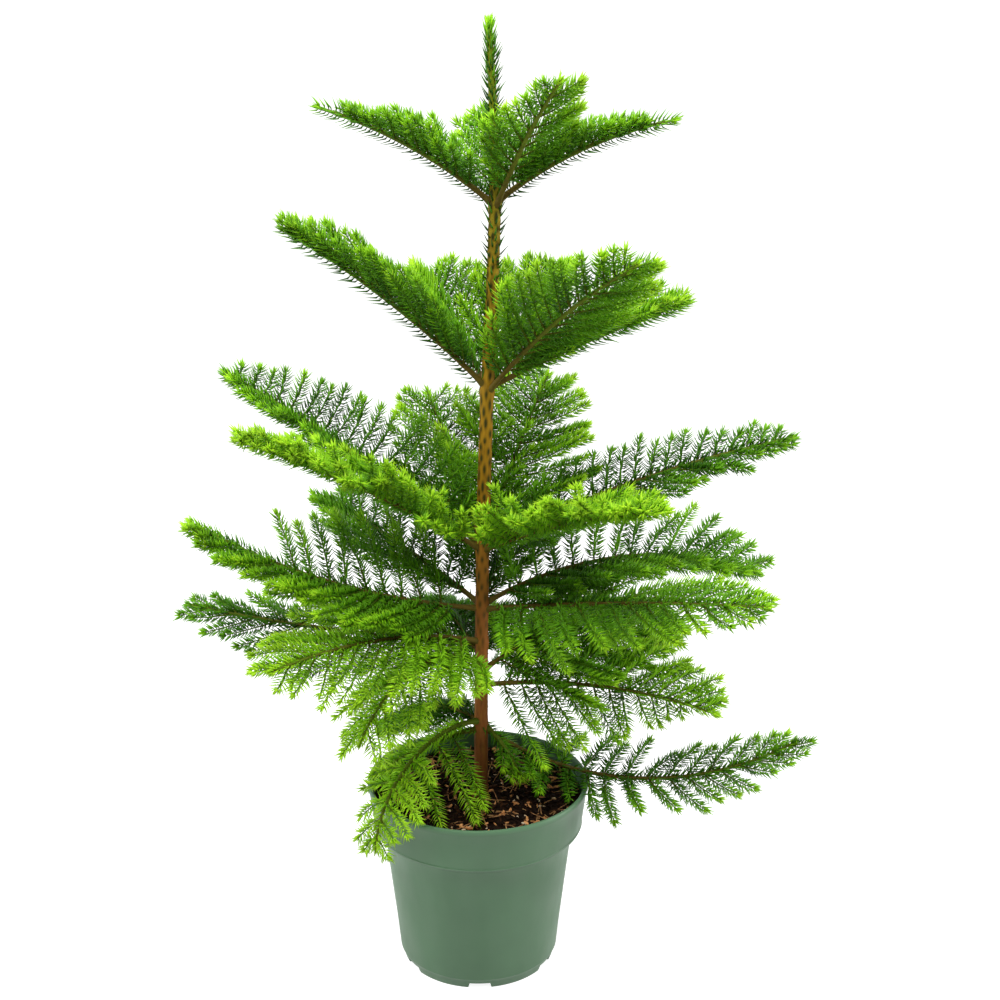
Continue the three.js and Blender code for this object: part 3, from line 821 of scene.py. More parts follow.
    def dress(self, body: Piece) -> None:
        """Put the soil and what lies on it on the frame."""
        settle(body, ["soil"])
        kinds = [
            ("soil_chips_dark", 1250, (5.0, 12.0), 0.3, (0.006, 0.003, 0.002), (0.022, 0.010, 0.006)),
            ("soil_chips_brown", 300, (4.0, 10.0), 0.8, (0.020, 0.008, 0.004), (0.075, 0.030, 0.012)),
            # Red bark chips: a real red-brown, brightened as painted light to make up for the foliage's
            # shade.
            ("soil_chips_red", 170, (3.5, 9.0), 1.2, (0.420, 0.150, 0.050), (0.950, 0.470, 0.190)),
            ("soil_chips_pale", 80, (2.4, 5.4), 1.5, (0.800, 0.520, 0.300), (1.000, 0.840, 0.620)),
        ]
        for index, (name, count, size, lift, tone, second) in enumerate(kinds):
            finish = EarthFinish(name, tone, second, 240.0).material()
            chips = self.chips(count, self.seed + 20 + index, size, lift).write(name, finish)
            flat_shade(chips)
            settle(chips, [])
        dark, light = (0.260, 0.110, 0.045), (0.600, 0.330, 0.150)
        finish = EarthFinish("soil_fibres", dark, light, 260.0).material()
        fibres = self.fibres(self.fibre_count, self.seed + 40).write("soil_fibres", finish)
        settle(fibres, [])


def flat_shade(piece: Piece) -> None:
    """Leave the edges of a piece crisp."""
    piece.data.polygons.foreach_set("use_smooth", np.zeros(len(piece.data.polygons), dtype=bool))


@dataclass(frozen=True)
class Station:
    """Place and radius of the trunk at one height."""

    z: float
    x: float
    y: float
    radius: float


TRUNK_LINE = (
    Station(164.4, 2.5, -9.0, 9.4),
    Station(169.0, 2.6, -8.8, 7.4),
    Station(182.0, 2.8, -8.2, 6.6),
    Station(250.0, 3.3, -5.0, 6.1),
    Station(318.0, 3.7, -2.0, 5.8),
    Station(407.0, 4.9, 0.0, 5.6),
    Station(480.0, 6.9, 0.0, 5.5),
    Station(552.0, 9.2, 0.0, 5.4),
    Station(640.0, 13.9, 0.0, 4.9),
    Station(712.0, 16.2, 0.0, 4.6),
    Station(750.0, 15.9, 0.0, 3.7),
    Station(810.0, 13.9, 0.0, 3.1),
    Station(848.0, 12.1, 0.0, 2.6),
    Station(862.0, 11.5, 0.0, 1.0),
)
TRUNK_FOOT = (TRUNK_LINE[0].x, TRUNK_LINE[0].y)


def trunk_axis(z: Array) -> Array:
    """Middle of the trunk at some heights.

    Args:
        z: Heights in millimetres.

    Returns:
        Points of the axis.
    """
    heights = [s.z for s in TRUNK_LINE]
    x = np.interp(z, heights, [s.x for s in TRUNK_LINE])
    y = np.interp(z, heights, [s.y for s in TRUNK_LINE])
    return np.stack([x, y, z], -1)


def trunk_radius(z: Array) -> Array:
    """Radius of the trunk at some heights."""
    return np.interp(z, [s.z for s in TRUNK_LINE], [s.radius for s in TRUNK_LINE])


@dataclass
class Trunk:
    """Trunk with bark relief and scale marks, and the needles of its leader."""

    whorls: tuple[float, ...]
    sides: int = 40
    row_step: float = 1.8
    mark_step: float = 2.0
    mark_foot: float = 300.0
    mark_top: float = 770.0
    needle_foot: float = 566.0
    needle_top: float = 859.0
    needle_pitch: float = 0.6
    needle_length: float = 15.2
    needle_width: float = 2.3
    cap_needles: int = 80
    seed: int = 7

    def build(self) -> Piece:
        """Model the bark as a fine tube with fissures, collars and raised scales.

        Returns:
            The trunk.
        """
        z = np.arange(TRUNK_LINE[0].z, TRUNK_LINE[-1].z + 0.01, self.row_step)
        turn = np.arange(self.sides) * 2 * math.pi / self.sides
        radius = trunk_radius(z)
        rng = np.random.default_rng(self.seed)
        collar = sum(np.exp(-(((z - w) / 5.0) ** 2)) for w in self.whorls) * 0.9
        skin = (radius + collar)[:, None] * np.ones(self.sides)[None]
        foot = np.exp(-(z - z[0]) / 9.0)[:, None]
        skin += foot * 1.3 * np.sin(5 * turn + 0.6)[None] * np.sin(2 * turn)[None]
        for lobes in range(2, 15, 2):
            shift = rng.uniform(0, 2 * math.pi)
            drift = np.cumsum(rng.normal(0, 0.05, len(z)))
            depth = 0.5 / lobes * radius / 5
            skin += depth[:, None] * np.sin(lobes * turn[None] + shift + drift[:, None])
        skin += rng.normal(0, 0.05, skin.shape)
        mark = np.zeros_like(skin)
        heights = np.arange(self.mark_foot, self.mark_top, self.mark_step)
        for k, height in enumerate(heights):
            centre = (k * GOLDEN_ANGLE + rng.normal(0, 0.15)) % (2 * math.pi)
            long = rng.uniform(2.6, 5.6)
            apart = (turn - centre + math.pi) % (2 * math.pi) - math.pi
            reach = np.interp(height, z, radius)
            tall = np.exp(-(((z - height) / long) ** 2)) * np.interp(height, [310, 430], [0.3, 1.0])
            wide = np.exp(-((apart * reach / 1.4) ** 2))
            mark = np.maximum(mark, tall[:, None] * wide[None] * rng.uniform(0.6, 1.0))
        skin += 0.55 * mark
        axis = trunk_axis(z)
        ring = np.stack([np.cos(turn), np.sin(turn), np.zeros(self.sides)], -1)
        points = (axis[:, None] + ring[None] * skin[:, :, None]).reshape(-1, 3)
        _, faces, _ = tube(axis, radius, self.sides)
        ends = np.stack([axis[0], axis[-1] + UP * 0.9])
        stack = MeshStack()
        marks = np.concatenate([np.clip(mark.ravel() * 1.8, 0, 0.96), [0.0, 0.0]])
        stack.add(np.concatenate([points, ends]), faces, marks)
        return stack.write("trunk_bark", BarkFinish().material(), "mark")

    def leader_needles(self) -> dict[Tint, MeshStack]:
        """Needles that stand up along the leader, with a bright cap at its tip.

        Returns:
            The needles of each tint.
        """
        rng = np.random.default_rng(self.seed + 1)
        z = np.arange(self.needle_foot, self.needle_top, self.needle_pitch)
        z = z[rng.uniform(0, 1, len(z)) < np.interp(z, [566, 640, 720, 860], [0.36, 0.44, 0.7, 1.0])]
        turn = np.arange(len(z)) * GOLDEN_ANGLE + rng.normal(0, 0.2, len(z))
        share = (z - self.needle_foot) / (self.needle_top - self.needle_foot)
        rise = np.radians(np.interp(z, [566, 712, 800, 862], [40, 45, 48, 66]) + rng.normal(0, 6, len(z)))
        shrink = np.interp(share, [0, 0.9, 1], [0.9, 1, 0.75])
        length = self.needle_length * rng.uniform(0.82, 1.1, len(z)) * shrink
        top = TRUNK_LINE[-1].z + 3.0
        length = np.minimum(length, np.maximum((top - z) / np.sin(rise), 4.0))
        cap_z = np.full(self.cap_needles, TRUNK_LINE[-1].z - 4.0) + rng.uniform(-5, 2, self.cap_needles)
        z = np.concatenate([z, cap_z])
        turn = np.concatenate([turn, np.arange(self.cap_needles) * GOLDEN_ANGLE])
        rise = np.concatenate([rise, np.radians(rng.uniform(50, 86, self.cap_needles))])
        length = np.concatenate([length, rng.uniform(5.5, 9.0, self.cap_needles)])
        out = np.stack([np.cos(turn), np.sin(turn), np.zeros(len(z))], -1)
        roots = trunk_axis(z) + out * (trunk_radius(z) * 0.6)[:, None]
        first = out * np.cos(rise)[:, None] + UP * np.sin(rise)[:, None]
        bent = rise + np.radians(8)
        second = out * np.cos(bent)[:, None] + UP * np.sin(bent)[:, None]
        width = self.needle_width * rng.uniform(0.85, 1.1, len(z))
        level = np.interp(z, [566, 700, 790, 838, 850, 866], [0.3, 0.4, 0.45, 0.8, 2.4, 3.6])
        return deal(roots, first, second, length, width, level + rng.normal(0, 0.35, len(z)))

    def dress(self, bark: Piece) -> None:
        """Put the trunk and its needles on the frame."""
        settle(bark, ["trunk"])
        for tint, stack in self.leader_needles().items():
            name = f"needles_leader_{tint.name.lower()}"
            settle(stack.write(name, needle_material(tint)), [])


@cache
def needle_material(tint: Tint) -> Material:
    """Material of a tint, made once."""
    return tint.value.material()


def deal(
    roots: Array, first: Array, second: Array, length: Array, width: Array, level: Array
) -> dict[Tint, MeshStack]:
    """Make needles and deal them out by tint.

    Args:
        roots: Root points.
        first: Directions at the roots.
        second: Directions of the outer parts.
        length: Lengths.
        width: Widths.
        level: Freshness, 0 for the oldest tint and 4 for the newest; on the boughs it holds painted light
            too.

    Returns:
        The needles of each tint.
    """
    shape = NeedleShape()
    stacks: dict[Tint, MeshStack] = {}
    chosen = np.clip(np.rint(level), 0, len(Tint) - 1).astype(int)
    for index, tint in enumerate(Tint):
        pick = chosen == index
        if pick.any():
            stack = MeshStack()
            stack.add(*shape.make(roots[pick], first[pick], second[pick], length[pick], width[pick]))
            stacks[tint] = stack
    return stacks


@dataclass(frozen=True)
class Row:
    """One of the two rows of branchlets on a bough.

    Attributes:
        fold: How far the row is lifted, or hangs.
        reach: Longest branchlet.
        taper: How fast branchlets shorten to the tip.
        spread: Angle of the branchlets to the rib, at the root and at the tip.
        gap: Distance of the branchlets as a share of the tier's.
        stop: Share of the clothed rib where the row ends.
    """

    fold: float
    reach: float
    taper: float
    spread: tuple[float, float] = (64.0, 46.0)
    gap: float = 1.0
    stop: float = 1.0


@dataclass(frozen=True)
class Bough:
    """One limb and the foliage that it carries.

    Attributes:
        name: Name of the bough, with its tier.
        z: Height where it leaves the trunk.
        azimuth: Direction seen from above.
        length: Length along the rib.
        rise: Slope at the root and at the tip.
        limb: Share of the length that is bare.
        near: Row of branchlets towards -Y.
        far: Row of branchlets towards +Y.
        glow: Freshness of its needles, partly painted light: raised on boughs lit from the front and on
            boughs shaded by the tiers above.
        sag: Bend of the branchlets, up where positive.
        swell: Length of the first branchlets as a share of the longest.
        jitter: Scatter of the rows' fold.
        youth: How much greener its rib is.
        contrast: How much fresher a branchlet's end is than its root.
        star: How much fresher the bud at a branchlet's end is.
        dense: Needles of its branchlets as a share of the tier's.
        bare: Share of the rib from its root that has few needles of its own.
        keel: Height on the rib's round, from -1 to 1, below which it has no needles.
    """

    name: str
    z: float
    azimuth: float
    length: float
    rise: tuple[float, float]
    limb: float
    near: Row
    far: Row
    glow: float = 1.2
    sag: float = 0.06
    swell: float = 0.62
    jitter: float = 8.0
    youth: float = 0.0
    contrast: float = 1.0
    star: float = USUAL_STAR
    dense: float = 1.0
    bare: float = 0.01
    keel: float = -2.0

    @property
    def tier(self) -> int:
        """Number of the whorl, from the top."""
        return int(self.name[4])

    def rib(self, s: Array) -> tuple[Array, Array, Array, Array]:
        """Rib of the bough, an arc in its own upright plane.

        Args:
            s: Distances along the rib.

        Returns:
            Points, directions along, directions to the side and upward normals.
        """
        a = math.radians(self.azimuth)
        f0, f1 = (math.radians(r) for r in self.rise)
        turn = (f1 - f0) / self.length
        f = f0 + turn * s
        out = (np.sin(f) - math.sin(f0)) / turn
        up = -(np.cos(f) - math.cos(f0)) / turn
        radial = np.array([math.cos(a), math.sin(a), 0.0])
        side = np.array([-math.sin(a), math.cos(a), 0.0])
        points = trunk_axis(np.array(self.z)) + radial * out[:, None] + UP * up[:, None]
        along = radial * np.cos(f)[:, None] + UP * np.sin(f)[:, None]
        normal = -radial * np.sin(f)[:, None] + UP * np.cos(f)[:, None]
        return points, along, np.broadcast_to(side, points.shape), normal

    def rows(self) -> list[tuple[int, Row]]:
        """Hand of each row, 1 where it lies on the side of the rib's own normal, and the row."""
        away = 1 if math.cos(math.radians(self.azimuth)) >= 0 else -1
        return [(-away, self.near), (away, self.far)]

    def nodes(self) -> tuple[list[str], list[str]]:
        """Names of the bough's own solid, if it has one, and of its foliage."""
        return ([f"{self.name}_bough"] if self.limb > 0 else []), [f"{self.name}_foliage"]


# Each bough's glow is needle freshness and painted light: boughs lit from the front and boughs in the
# upper tiers' shade get brighter greens.
BOUGHS = (
    Bough(
        "tier1_left", 711, 190, 168, (42, 18), 0.13,
        near=Row(34, 54, 0.95), far=Row(43, 54, 0.95),
        glow=1.4, contrast=1.1, youth=0.4,
    ),
    Bough(
        "tier1_front", 707, -62, 157, (54, 40), 0.13,
        near=Row(36, 46, 0.6, (66, 52), gap=1.3), far=Row(-4, 66, 0.5, (62, 48), gap=1.3),
        glow=2.0, contrast=1.3, keel=-0.5, youth=0.4,
    ),
    Bough(
        "tier1_right", 713, -13, 166, (40, 12), 0.13,
        near=Row(32, 46, 0.9), far=Row(45, 46, 0.9),
        glow=1.3, contrast=1.1, youth=0.4,
    ),
    Bough(
        "tier1_back", 709, 96, 126, (46, 22), 0,
        near=Row(32, 58, 0.9, gap=1.35), far=Row(32, 58, 0.9, gap=1.35),
        glow=1.8, youth=0.4,
    ),
    Bough(
        "tier2_left", 554, 190, 222, (47, 33), 0.1,
        near=Row(35, 80, 0.5, (50, 34)), far=Row(37, 76, 0.5, (50, 34)),
        glow=1.4, contrast=1.25, youth=0.3, dense=0.72,
    ),
    Bough(
        "tier2_front", 549, -46, 218, (47, 31), 0.1,
        near=Row(43, 78, 0.5, (62, 48), gap=1.1), far=Row(-18, 90, 0.5, (60, 48), gap=1.1),
        glow=2.05, contrast=1.4, keel=-0.5, youth=0.3, dense=0.8,
    ),
    Bough(
        "tier2_right", 553, 2, 186, (28, 19), 0.1,
        near=Row(26, 78, 0.6, (54, 40)), far=Row(38, 78, 0.6, (54, 40)),
        glow=1.8, contrast=1.2, youth=0.3, dense=0.8,
    ),
    Bough(
        "tier2_back_right", 550, 64, 166, (40, 18), 0.1,
        near=Row(32, 84, 0.6), far=Row(32, 84, 0.6),
        glow=2.2, youth=0.3,
    ),
    Bough(
        "tier2_back_left", 551, 118, 148, (44, 24), 0.1,
        near=Row(32, 80, 0.6), far=Row(32, 80, 0.6),
        glow=2.2, youth=0.3,
    ),
    Bough(
        "tier3_front_left", 405, 205, 256, (36, 25), 0.08,
        near=Row(20, 72, 0.45, (68, 62), gap=0.6), far=Row(20, 66, 0.5, (60, 50), gap=0.75),
        glow=2.6, sag=0, jitter=18, star=3.0, contrast=0.45, dense=0.6,
    ),
    Bough(
        "tier3_front", 404, -48, 226, (31, 15), 0.08,
        near=Row(28, 76, 0.4, (70, 60), gap=0.6), far=Row(10, 70, 0.5, (60, 50), gap=0.75),
        glow=2.6, sag=0, jitter=18, star=3.0, contrast=0.45, dense=0.6,
    ),
    Bough(
        "tier3_left", 410, 163, 280, (34, 26), 0.08,
        near=Row(8, 80, 0.55, (70, 56)), far=Row(60, 72, 0.6, (104, 88), gap=1.15),
        glow=1.25,
    ),
    Bough(
        "tier3_back_left", 406, 108, 200, (36, 24), 0.08,
        near=Row(22, 92, 0.6, (78, 60), gap=1.25), far=Row(22, 92, 0.6, (78, 60), gap=1.25),
        glow=2, dense=0.7,
    ),
    Bough(
        "tier3_back", 408, 70, 212, (38, 27), 0.08,
        near=Row(4, 104, 0.6, (80, 62), gap=0.98), far=Row(18, 96, 0.6, (80, 62), gap=0.98),
        glow=2.3,
    ),
    Bough(
        "tier3_right", 409, 12, 300, (24, 8), 0.08,
        near=Row(-12, 74, 0.55, (64, 48), gap=1.25), far=Row(50, 46, 0.45, (80, 58), gap=1.3),
        glow=1.0,
    ),
    Bough(
        "tier4_left", 350, 192, 274, (8, 35), 0.08,
        near=Row(-14, 92, 0.45, (64, 50), gap=0.64), far=Row(50, 104, 0.9, (80, 62), gap=1.25, stop=0.6),
        glow=2.0, bare=0.3, swell=0.8,
    ),
    Bough(
        "tier4_back_left", 353, 138, 210, (20, 12), 0.08,
        near=Row(12, 104, 0.6, gap=1.2), far=Row(26, 92, 0.6, gap=1.2),
        glow=1.3, bare=0.7,
    ),
    Bough(
        "tier4_back", 349, 80, 196, (20, 0), 0.08,
        near=Row(24, 92, 0.6, gap=1.15), far=Row(24, 92, 0.6, gap=1.15),
        glow=1.2,
    ),
    Bough(
        "tier4_right", 353, 18, 278, (26, -26), 0.08,
        near=Row(0, 94, 0.6, (78, 58), gap=0.9), far=Row(28, 78, 0.2, (86, 36), gap=1.3),
        glow=1.4, bare=0.75,
    ),
    Bough(
        "tier4_front", 349, -25, 268, (14, 6), 0.06,
        near=Row(-14, 108, 0.62, (70, 48), gap=1.3), far=Row(6, 104, 0.6, gap=1.25),
        glow=2.1, sag=-0.06, swell=0.9, dense=0.8,
    ),
    Bough(
        "tier5_left", 316, 174, 270, (1, 10), 0.1,
        near=Row(-22, 92, 0.5, (54, 40), gap=1.75), far=Row(10, 92, 0.5, (54, 40), gap=1.75),
        glow=0.85, bare=0.7, sag=-0.04,
    ),
    Bough(
        "tier5_front_left", 318, 214, 214, (22, -10), 0.08,
        near=Row(-20, 112, 0.64, gap=0.95), far=Row(8, 112, 0.5, gap=0.95),
        glow=2.9, bare=0.4, sag=-0.14, swell=0.9, jitter=20, dense=0.72,
    ),
    Bough(
        "tier5_front_low", 296, 226, 170, (40, -60), 0,
        near=Row(-20, 76, 0.4, gap=1.05), far=Row(-20, 84, 0.4, gap=0.95),
        glow=2.9, sag=-0.16, swell=1, jitter=14, dense=0.78,
    ),
    Bough(
        "tier5_right", 276, -4, 216, (8, -20), 0.06,
        near=Row(-34, 84, 1.1, (66, 84), gap=1.1), far=Row(36, 118, 0.55, (72, 48), gap=0.68),
        glow=2.6, bare=0.6, sag=-0.12, swell=1, jitter=14,
    ),
    Bough(
        "tier5_back_right", 289, 34, 230, (24, -22), 0.06,
        near=Row(-20, 104, 0.5, (74, 50), gap=0.72), far=Row(0, 96, 0.5, (72, 50), gap=0.9),
        glow=2.0, sag=-0.1, swell=1,
    ),
    Bough(
        "tier5_back", 300, 108, 206, (12, -22), 0,
        near=Row(-10, 90, 0.5), far=Row(-10, 90, 0.5),
        glow=1.1, sag=-0.1,
    ),
    Bough(
        "tier6_right", 237, 4, 312, (-40, 29), 0.16,
        near=Row(-8, 66, 0.28, (112, 36), gap=1.4), far=Row(22, 72, 0.4, (75, 38), gap=1.6),
        glow=1.5, bare=0.45, sag=-0.03, swell=0.6,
    ),
    Bough(
        "tier6_left", 241, 222, 172, (16, -84), 0.46,
        near=Row(10, 58, 0.4, (90, 78), gap=1.3), far=Row(-10, 56, 0.4, (80, 50), gap=1.3),
        glow=3.6, sag=-0.1, youth=0.85, dense=0.8,
    ),
    Bough(
        "tier6_front", 233, 204, 98, (4, -30), 0,
        near=Row(-36, 82, 0.1, (108, 82), gap=1.5), far=Row(-20, 48, 0.3, gap=1.5),
        glow=2.9, sag=-0.06, swell=0.05, youth=0.6,
    ),
    Bough(
        "tier6_front_right", 240, -24, 64, (-34, -68), 0,
        near=Row(-20, 26, 0.4, gap=1.4), far=Row(-20, 26, 0.4, gap=1.4),
        glow=2.3, sag=-0.1, swell=0.05, youth=0.6,
    ),
    Bough(
        "tier6_back", 240, 132, 150, (4, -46), 0,
        near=Row(-10, 64, 0.5), far=Row(-10, 64, 0.5),
        glow=1.2, sag=-0.1, youth=0.4,
    ),
)


@dataclass(frozen=True)
class Whorl:
    """Habit of one tier.

    Attributes:
        spacing: Distance of the branchlets along a rib.
        density: Needles on a millimetre of branchlet.
        needle_length: Length of a branchlet's needles.
        needle_width: Greatest width of a needle.
        rib_density: Needles on a millimetre of rib.
        rib_extra: How much longer a rib's own needles are.
    """

    spacing: float
    density: float
    needle_length: float
    needle_width: float
    rib_density: float = 1.6
    rib_extra: float = 0.8


WHORLS = {
    1: Whorl(10.5, 1.7, 12.6, 2.15, rib_density=1.25, rib_extra=2.4),
    2: Whorl(10.5, 1.7, 13.4, 2.1, rib_density=0.95, rib_extra=3.6),
    3: Whorl(11.0, 1.9, 12.4, 2.1),
    4: Whorl(13.5, 1.9, 12.8, 2.1),
    5: Whorl(12.8, 1.85, 12.4, 2.0),
    6: Whorl(13.0, 1.8, 12.4, 2.0),
}


@dataclass(frozen=True)
class Course:
    """Value that follows another one, such as the share of a shoot's length."""

    places: tuple[float, ...]
    values: tuple[float, ...]

    def at(self, place: Array) -> Array:
        """Values at some places."""
        return np.interp(place, self.places, self.values)


@dataclass(frozen=True)
class Branchlet:
    """One side shoot: it leaves the rib, curls to the bough's tip, and lifts or hangs."""

    root: Array
    way: Array
    flank: Array
    length: float
    sag: float
    level: float
    curl: float
    contrast: float
    star: float
    dense: float

    def spine(self, t: Array) -> tuple[Array, Array]:
        """Middle line of the shoot.

        Args:
            t: Distances from its root.

        Returns:
            Points and directions.
        """
        bend = self.flank * self.curl + UP * self.sag
        points = self.root + self.way * t[:, None] + bend * (t**2 / self.length)[:, None]
        along = unit(self.way + bend * (2 * t / self.length)[:, None])
        return points, along

    def cut(self, share: float) -> "Branchlet":
        """The same shoot at a share of its length."""
        length, sag, curl = (share * value for value in (self.length, self.sag, self.curl))
        return replace(self, length=length, sag=sag, curl=curl)


@dataclass
class Crown:
    """All boughs with their ribs, branchlets and needles."""

    pot: Pot
    soil: Soil
    rib_root: float = 2.5
    rib_tip: float = 1.2
    shoot_root: float = 0.95
    shoot_tip: float = 0.5
    shortest: float = 10.0
    bud_needles: int = 11
    bend: float = 22.0
    upturn: float = 0.12
    side_limit: float = 0.82
    tip_share: float = 0.72
    stout: Course = Course((6.5, 9.0, 13.4, 15.4), (0.72, 1.0, 1.0, 1.4))
    shoot_length: Course = Course((0, 0.15, 0.7, 1), (0.78, 1.0, 1.0, 0.82))
    shoot_lean: Course = Course((0, 0.2, 0.85, 1), (80, 77, 71, 52))
    shoot_fresh: Course = Course((0, 0.4, 0.8, 1), (-0.5, -0.15, 0.5, 1.3))
    rib_length: Course = Course((0, 0.9, 1), (1.0, 1.0, 0.8))
    rib_lean: Course = Course((0, 0.9, 1), (74, 70, 52))
    rib_fresh: Course = Course((0, 0.5, 0.85, 1), (-0.2, 0.1, 1.0, 2.0))

    def __post_init__(self) -> None:
        """Make a stack for each kind of piece in each tier."""
        self.ribs = {tier: MeshStack() for tier in WHORLS}
        self.shoots = {tier: MeshStack() for tier in WHORLS}
        self.needles: dict[tuple[int, Tint], MeshStack] = {}

    def blocked(self, points: Array) -> Array:
        """Find points inside the soil, the pot's wall or the trunk.

        Args:
            points: Points to test.

        Returns:
            True for each point that isn't free.
        """
        x, y, z = points.T
        radius = np.hypot(x, y)
        inner = self.pot.inner_radius(z)
        in_soil = (z < self.soil.top_z + 3.5) & (radius < inner + 8)
        in_wall = (z < self.pot.height + 1.5) & (radius > inner - 1.5) & (radius < inner + 6.5)
        axis = trunk_axis(z)
        in_trunk = np.hypot(x - axis[:, 0], y - axis[:, 1]) < trunk_radius(z) + 1.0
        in_trunk &= z < TRUNK_LINE[-1].z
        return in_soil | in_wall | in_trunk

    def branchlets(self, bough: Bough, rng: np.random.Generator) -> list[Branchlet]:
        """Lay out the branchlets of a bough in two rows.

        Args:
            bough: The bough.
            rng: Random numbers of the bough.

        Returns:
            The branchlets, from root to tip.
        """
        start = bough.length * max(bough.limb, 0.04) + 7
        found = []
        for hand, row in bough.rows():
            step = WHORLS[bough.tier].spacing * row.gap
            s = start if row is bough.near else start + step / 2
            end = min(bough.length - 6, mix(start, bough.length, row.stop))
            while s < end:
                shoot = self.shoot_at(bough, row, hand, s, (s - start) / (bough.length - start), rng)
                s += step * rng.uniform(0.84, 1.16)
                kept = None if shoot.length < self.shortest else self.fitted(shoot)
                if kept is not None:
                    found.append(kept)
        return found

    def shoot_at(
        self, bough: Bough, row: Row, hand: int, s: float, u: float, rng: np.random.Generator
    ) -> Branchlet:
        """Lay out one branchlet.

        Args:
            bough: The bough.
            row: The row it stands in.
            hand: Side of the rib, 1 or -1.
            s: Distance along the rib.
            u: Share of the way from the first branchlet to the tip.
            rng: Random numbers of the bough.

        Returns:
            The branchlet as it would grow.
        """
        swell = mix(bough.swell, 1.0, min(1.0, u / 0.2))
        length = row.reach * swell * (1 - u) ** row.taper * rng.uniform(0.84, 1.06)
        angle = math.radians(mix(*row.spread, u) + rng.normal(0, 4))
        fold = math.radians(row.fold + rng.uniform(-1, 1) * bough.jitter)
        point, along, side, normal = (line[0] for line in bough.rib(np.array([s])))
        across = side * hand * math.cos(fold) + normal * math.sin(fold)
        way = along * math.cos(angle) + across * math.sin(angle)
        flank = along * math.sin(angle) - across * math.cos(angle)
        # Painted light: the bough's glow brightens the needles of all its branchlets.
        level = bough.glow + 0.45 * u + rng.normal(0, 0.3)
        sag = bough.sag + rng.normal(0, 0.03)
        curl = rng.uniform(0.08, 0.24)
        habit = (bough.contrast, bough.star, bough.dense)
        return Branchlet(point, way, flank, length, sag, level, curl, *habit)

    def fitted(self, shoot: Branchlet) -> Branchlet | None:
        """Shorten a shoot until it is clear of the pot, the soil and the trunk.

        Args:
            shoot: The shoot as it would grow.

        Returns:
            The shoot that fits, or none.
        """
        for share in (1.0, 0.86, 0.74, 0.62, 0.5, 0.4, 0.3):
            tried = shoot.cut(share)
            if tried.length < self.shortest:
                break
            points, _ = tried.spine(np.linspace(tried.length * 0.2, tried.length + 2, 14))
            if not self.blocked(points).any():
                return tried
        return None

    def add_needles(self, tier: int, parts: dict[Tint, MeshStack]) -> None:
        """Put dealt needles with those of their tier.

        Args:
            tier: Number of the tier.
            parts: Needles of each tint.
        """
        for tint, stack in parts.items():
            target = self.needles.setdefault((tier, tint), MeshStack())
            for points, faces in zip(stack.points, stack.faces):
                target.add(points, faces)

    def clothe(
        self,
        tier: int,
        points: Array,
        along: Array,
        lengths: Array,
        lean: Array,
        level: Array,
        rng: np.random.Generator,
        keel: float = -2.0,
        flank: Array | float = 2.0,
        spread: Array | None = None,
    ) -> None:
        """Set needles round a shoot or rib in four ranks.

        Args:
            tier: Number of the tier.
            points: Root points on the middle line.
            along: Directions of the line there.
            lengths: Needle lengths.
            lean: Angles of the needles to the line, in degrees.
            level: Freshness of each needle, with its bough's painted light.
            rng: Random numbers of the bough.
            keel: Height on the round, from -1 to 1, below which no needle stands.
            flank: Distance from the upright, up to 1, beyond which no needle stands.
            spread: Way of two of the ranks, level across the line if none.
        """
        count = len(points)
        turn = np.arange(count) * math.pi / 2 + rng.normal(0, 0.24, count)
        plane = np.cross(along, UP + np.array([0.02, 0.01, 0.0])) if spread is None else spread
        side = unit(plane - along * np.sum(plane * along, axis=1)[:, None])
        top = np.cross(side, along)
        round_way = side * np.cos(turn)[:, None] + top * (0.86 * np.sin(turn))[:, None]
        below = np.sin(turn) < -0.35
        lengths = lengths * np.where(below, 0.92, 1.0) * rng.uniform(0.88, 1.1, count)
        lean = np.radians(lean + rng.normal(0, 4.5, count))
        first = unit(along * np.cos(lean)[:, None] + round_way * np.sin(lean)[:, None])
        bent = lean - math.radians(self.bend)
        second = along * np.cos(bent)[:, None] + round_way * np.sin(bent)[:, None]
        second = unit(second + UP * self.upturn)
        width = WHORLS[tier].needle_width * rng.uniform(0.84, 1.1, count) * self.stout.at(lengths)
        inner = (lengths * NeedleShape.ring_share)[:, None]
        tips = points + first * inner + second * (lengths[:, None] - inner)
        free = ~self.blocked(tips) & (np.sin(turn) > keel) & (np.abs(np.cos(turn)) < flank)
        parts = deal(points[free], first[free], second[free], lengths[free], width[free], level[free])
        self.add_needles(tier, parts)

    def grow_shoot(self, tier: int, shoot: Branchlet, rng: np.random.Generator) -> None:
        """Make one branchlet: its twig, its needles and the bud at its end.

        Args:
            tier: Number of the tier.
            shoot: The branchlet.
            rng: Random numbers of the bough.
        """
        steps = max(4, int(shoot.length / 8))
        line, _ = shoot.spine(np.linspace(0, shoot.length, steps))
        radii = np.linspace(self.shoot_root, self.shoot_tip, steps)
        self.shoots[tier].add(*tube(line, radii, 5))
        count = int(shoot.length * WHORLS[tier].density * shoot.dense)
        t = np.linspace(3.0, shoot.length - 0.5, count) + rng.normal(0, 0.35, count)
        share = np.clip(t / shoot.length, 0, 1)
        points, along = shoot.spine(t)
        lengths = WHORLS[tier].needle_length * self.shoot_length.at(share)
        lean = self.shoot_lean.at(share)
        level = shoot.level + shoot.contrast * self.shoot_fresh.at(share)
        level = level + rng.normal(0, 0.16, count)
        self.clothe(tier, points, along, lengths, lean, level, rng, spread=shoot.flank)
        buds = round(self.bud_needles * (shoot.star / USUAL_STAR) ** 0.6)
        points, along = shoot.spine(np.linspace(shoot.length - 2.2, shoot.length + 0.3, buds))
        lengths = rng.uniform(6.2, 8.8, buds) * (shoot.star / USUAL_STAR) ** 0.4
        lean = rng.uniform(16, 30 + 20 * shoot.star, buds)
        self.clothe(tier, points, along, lengths, lean, np.full(buds, shoot.level + shoot.star), rng)

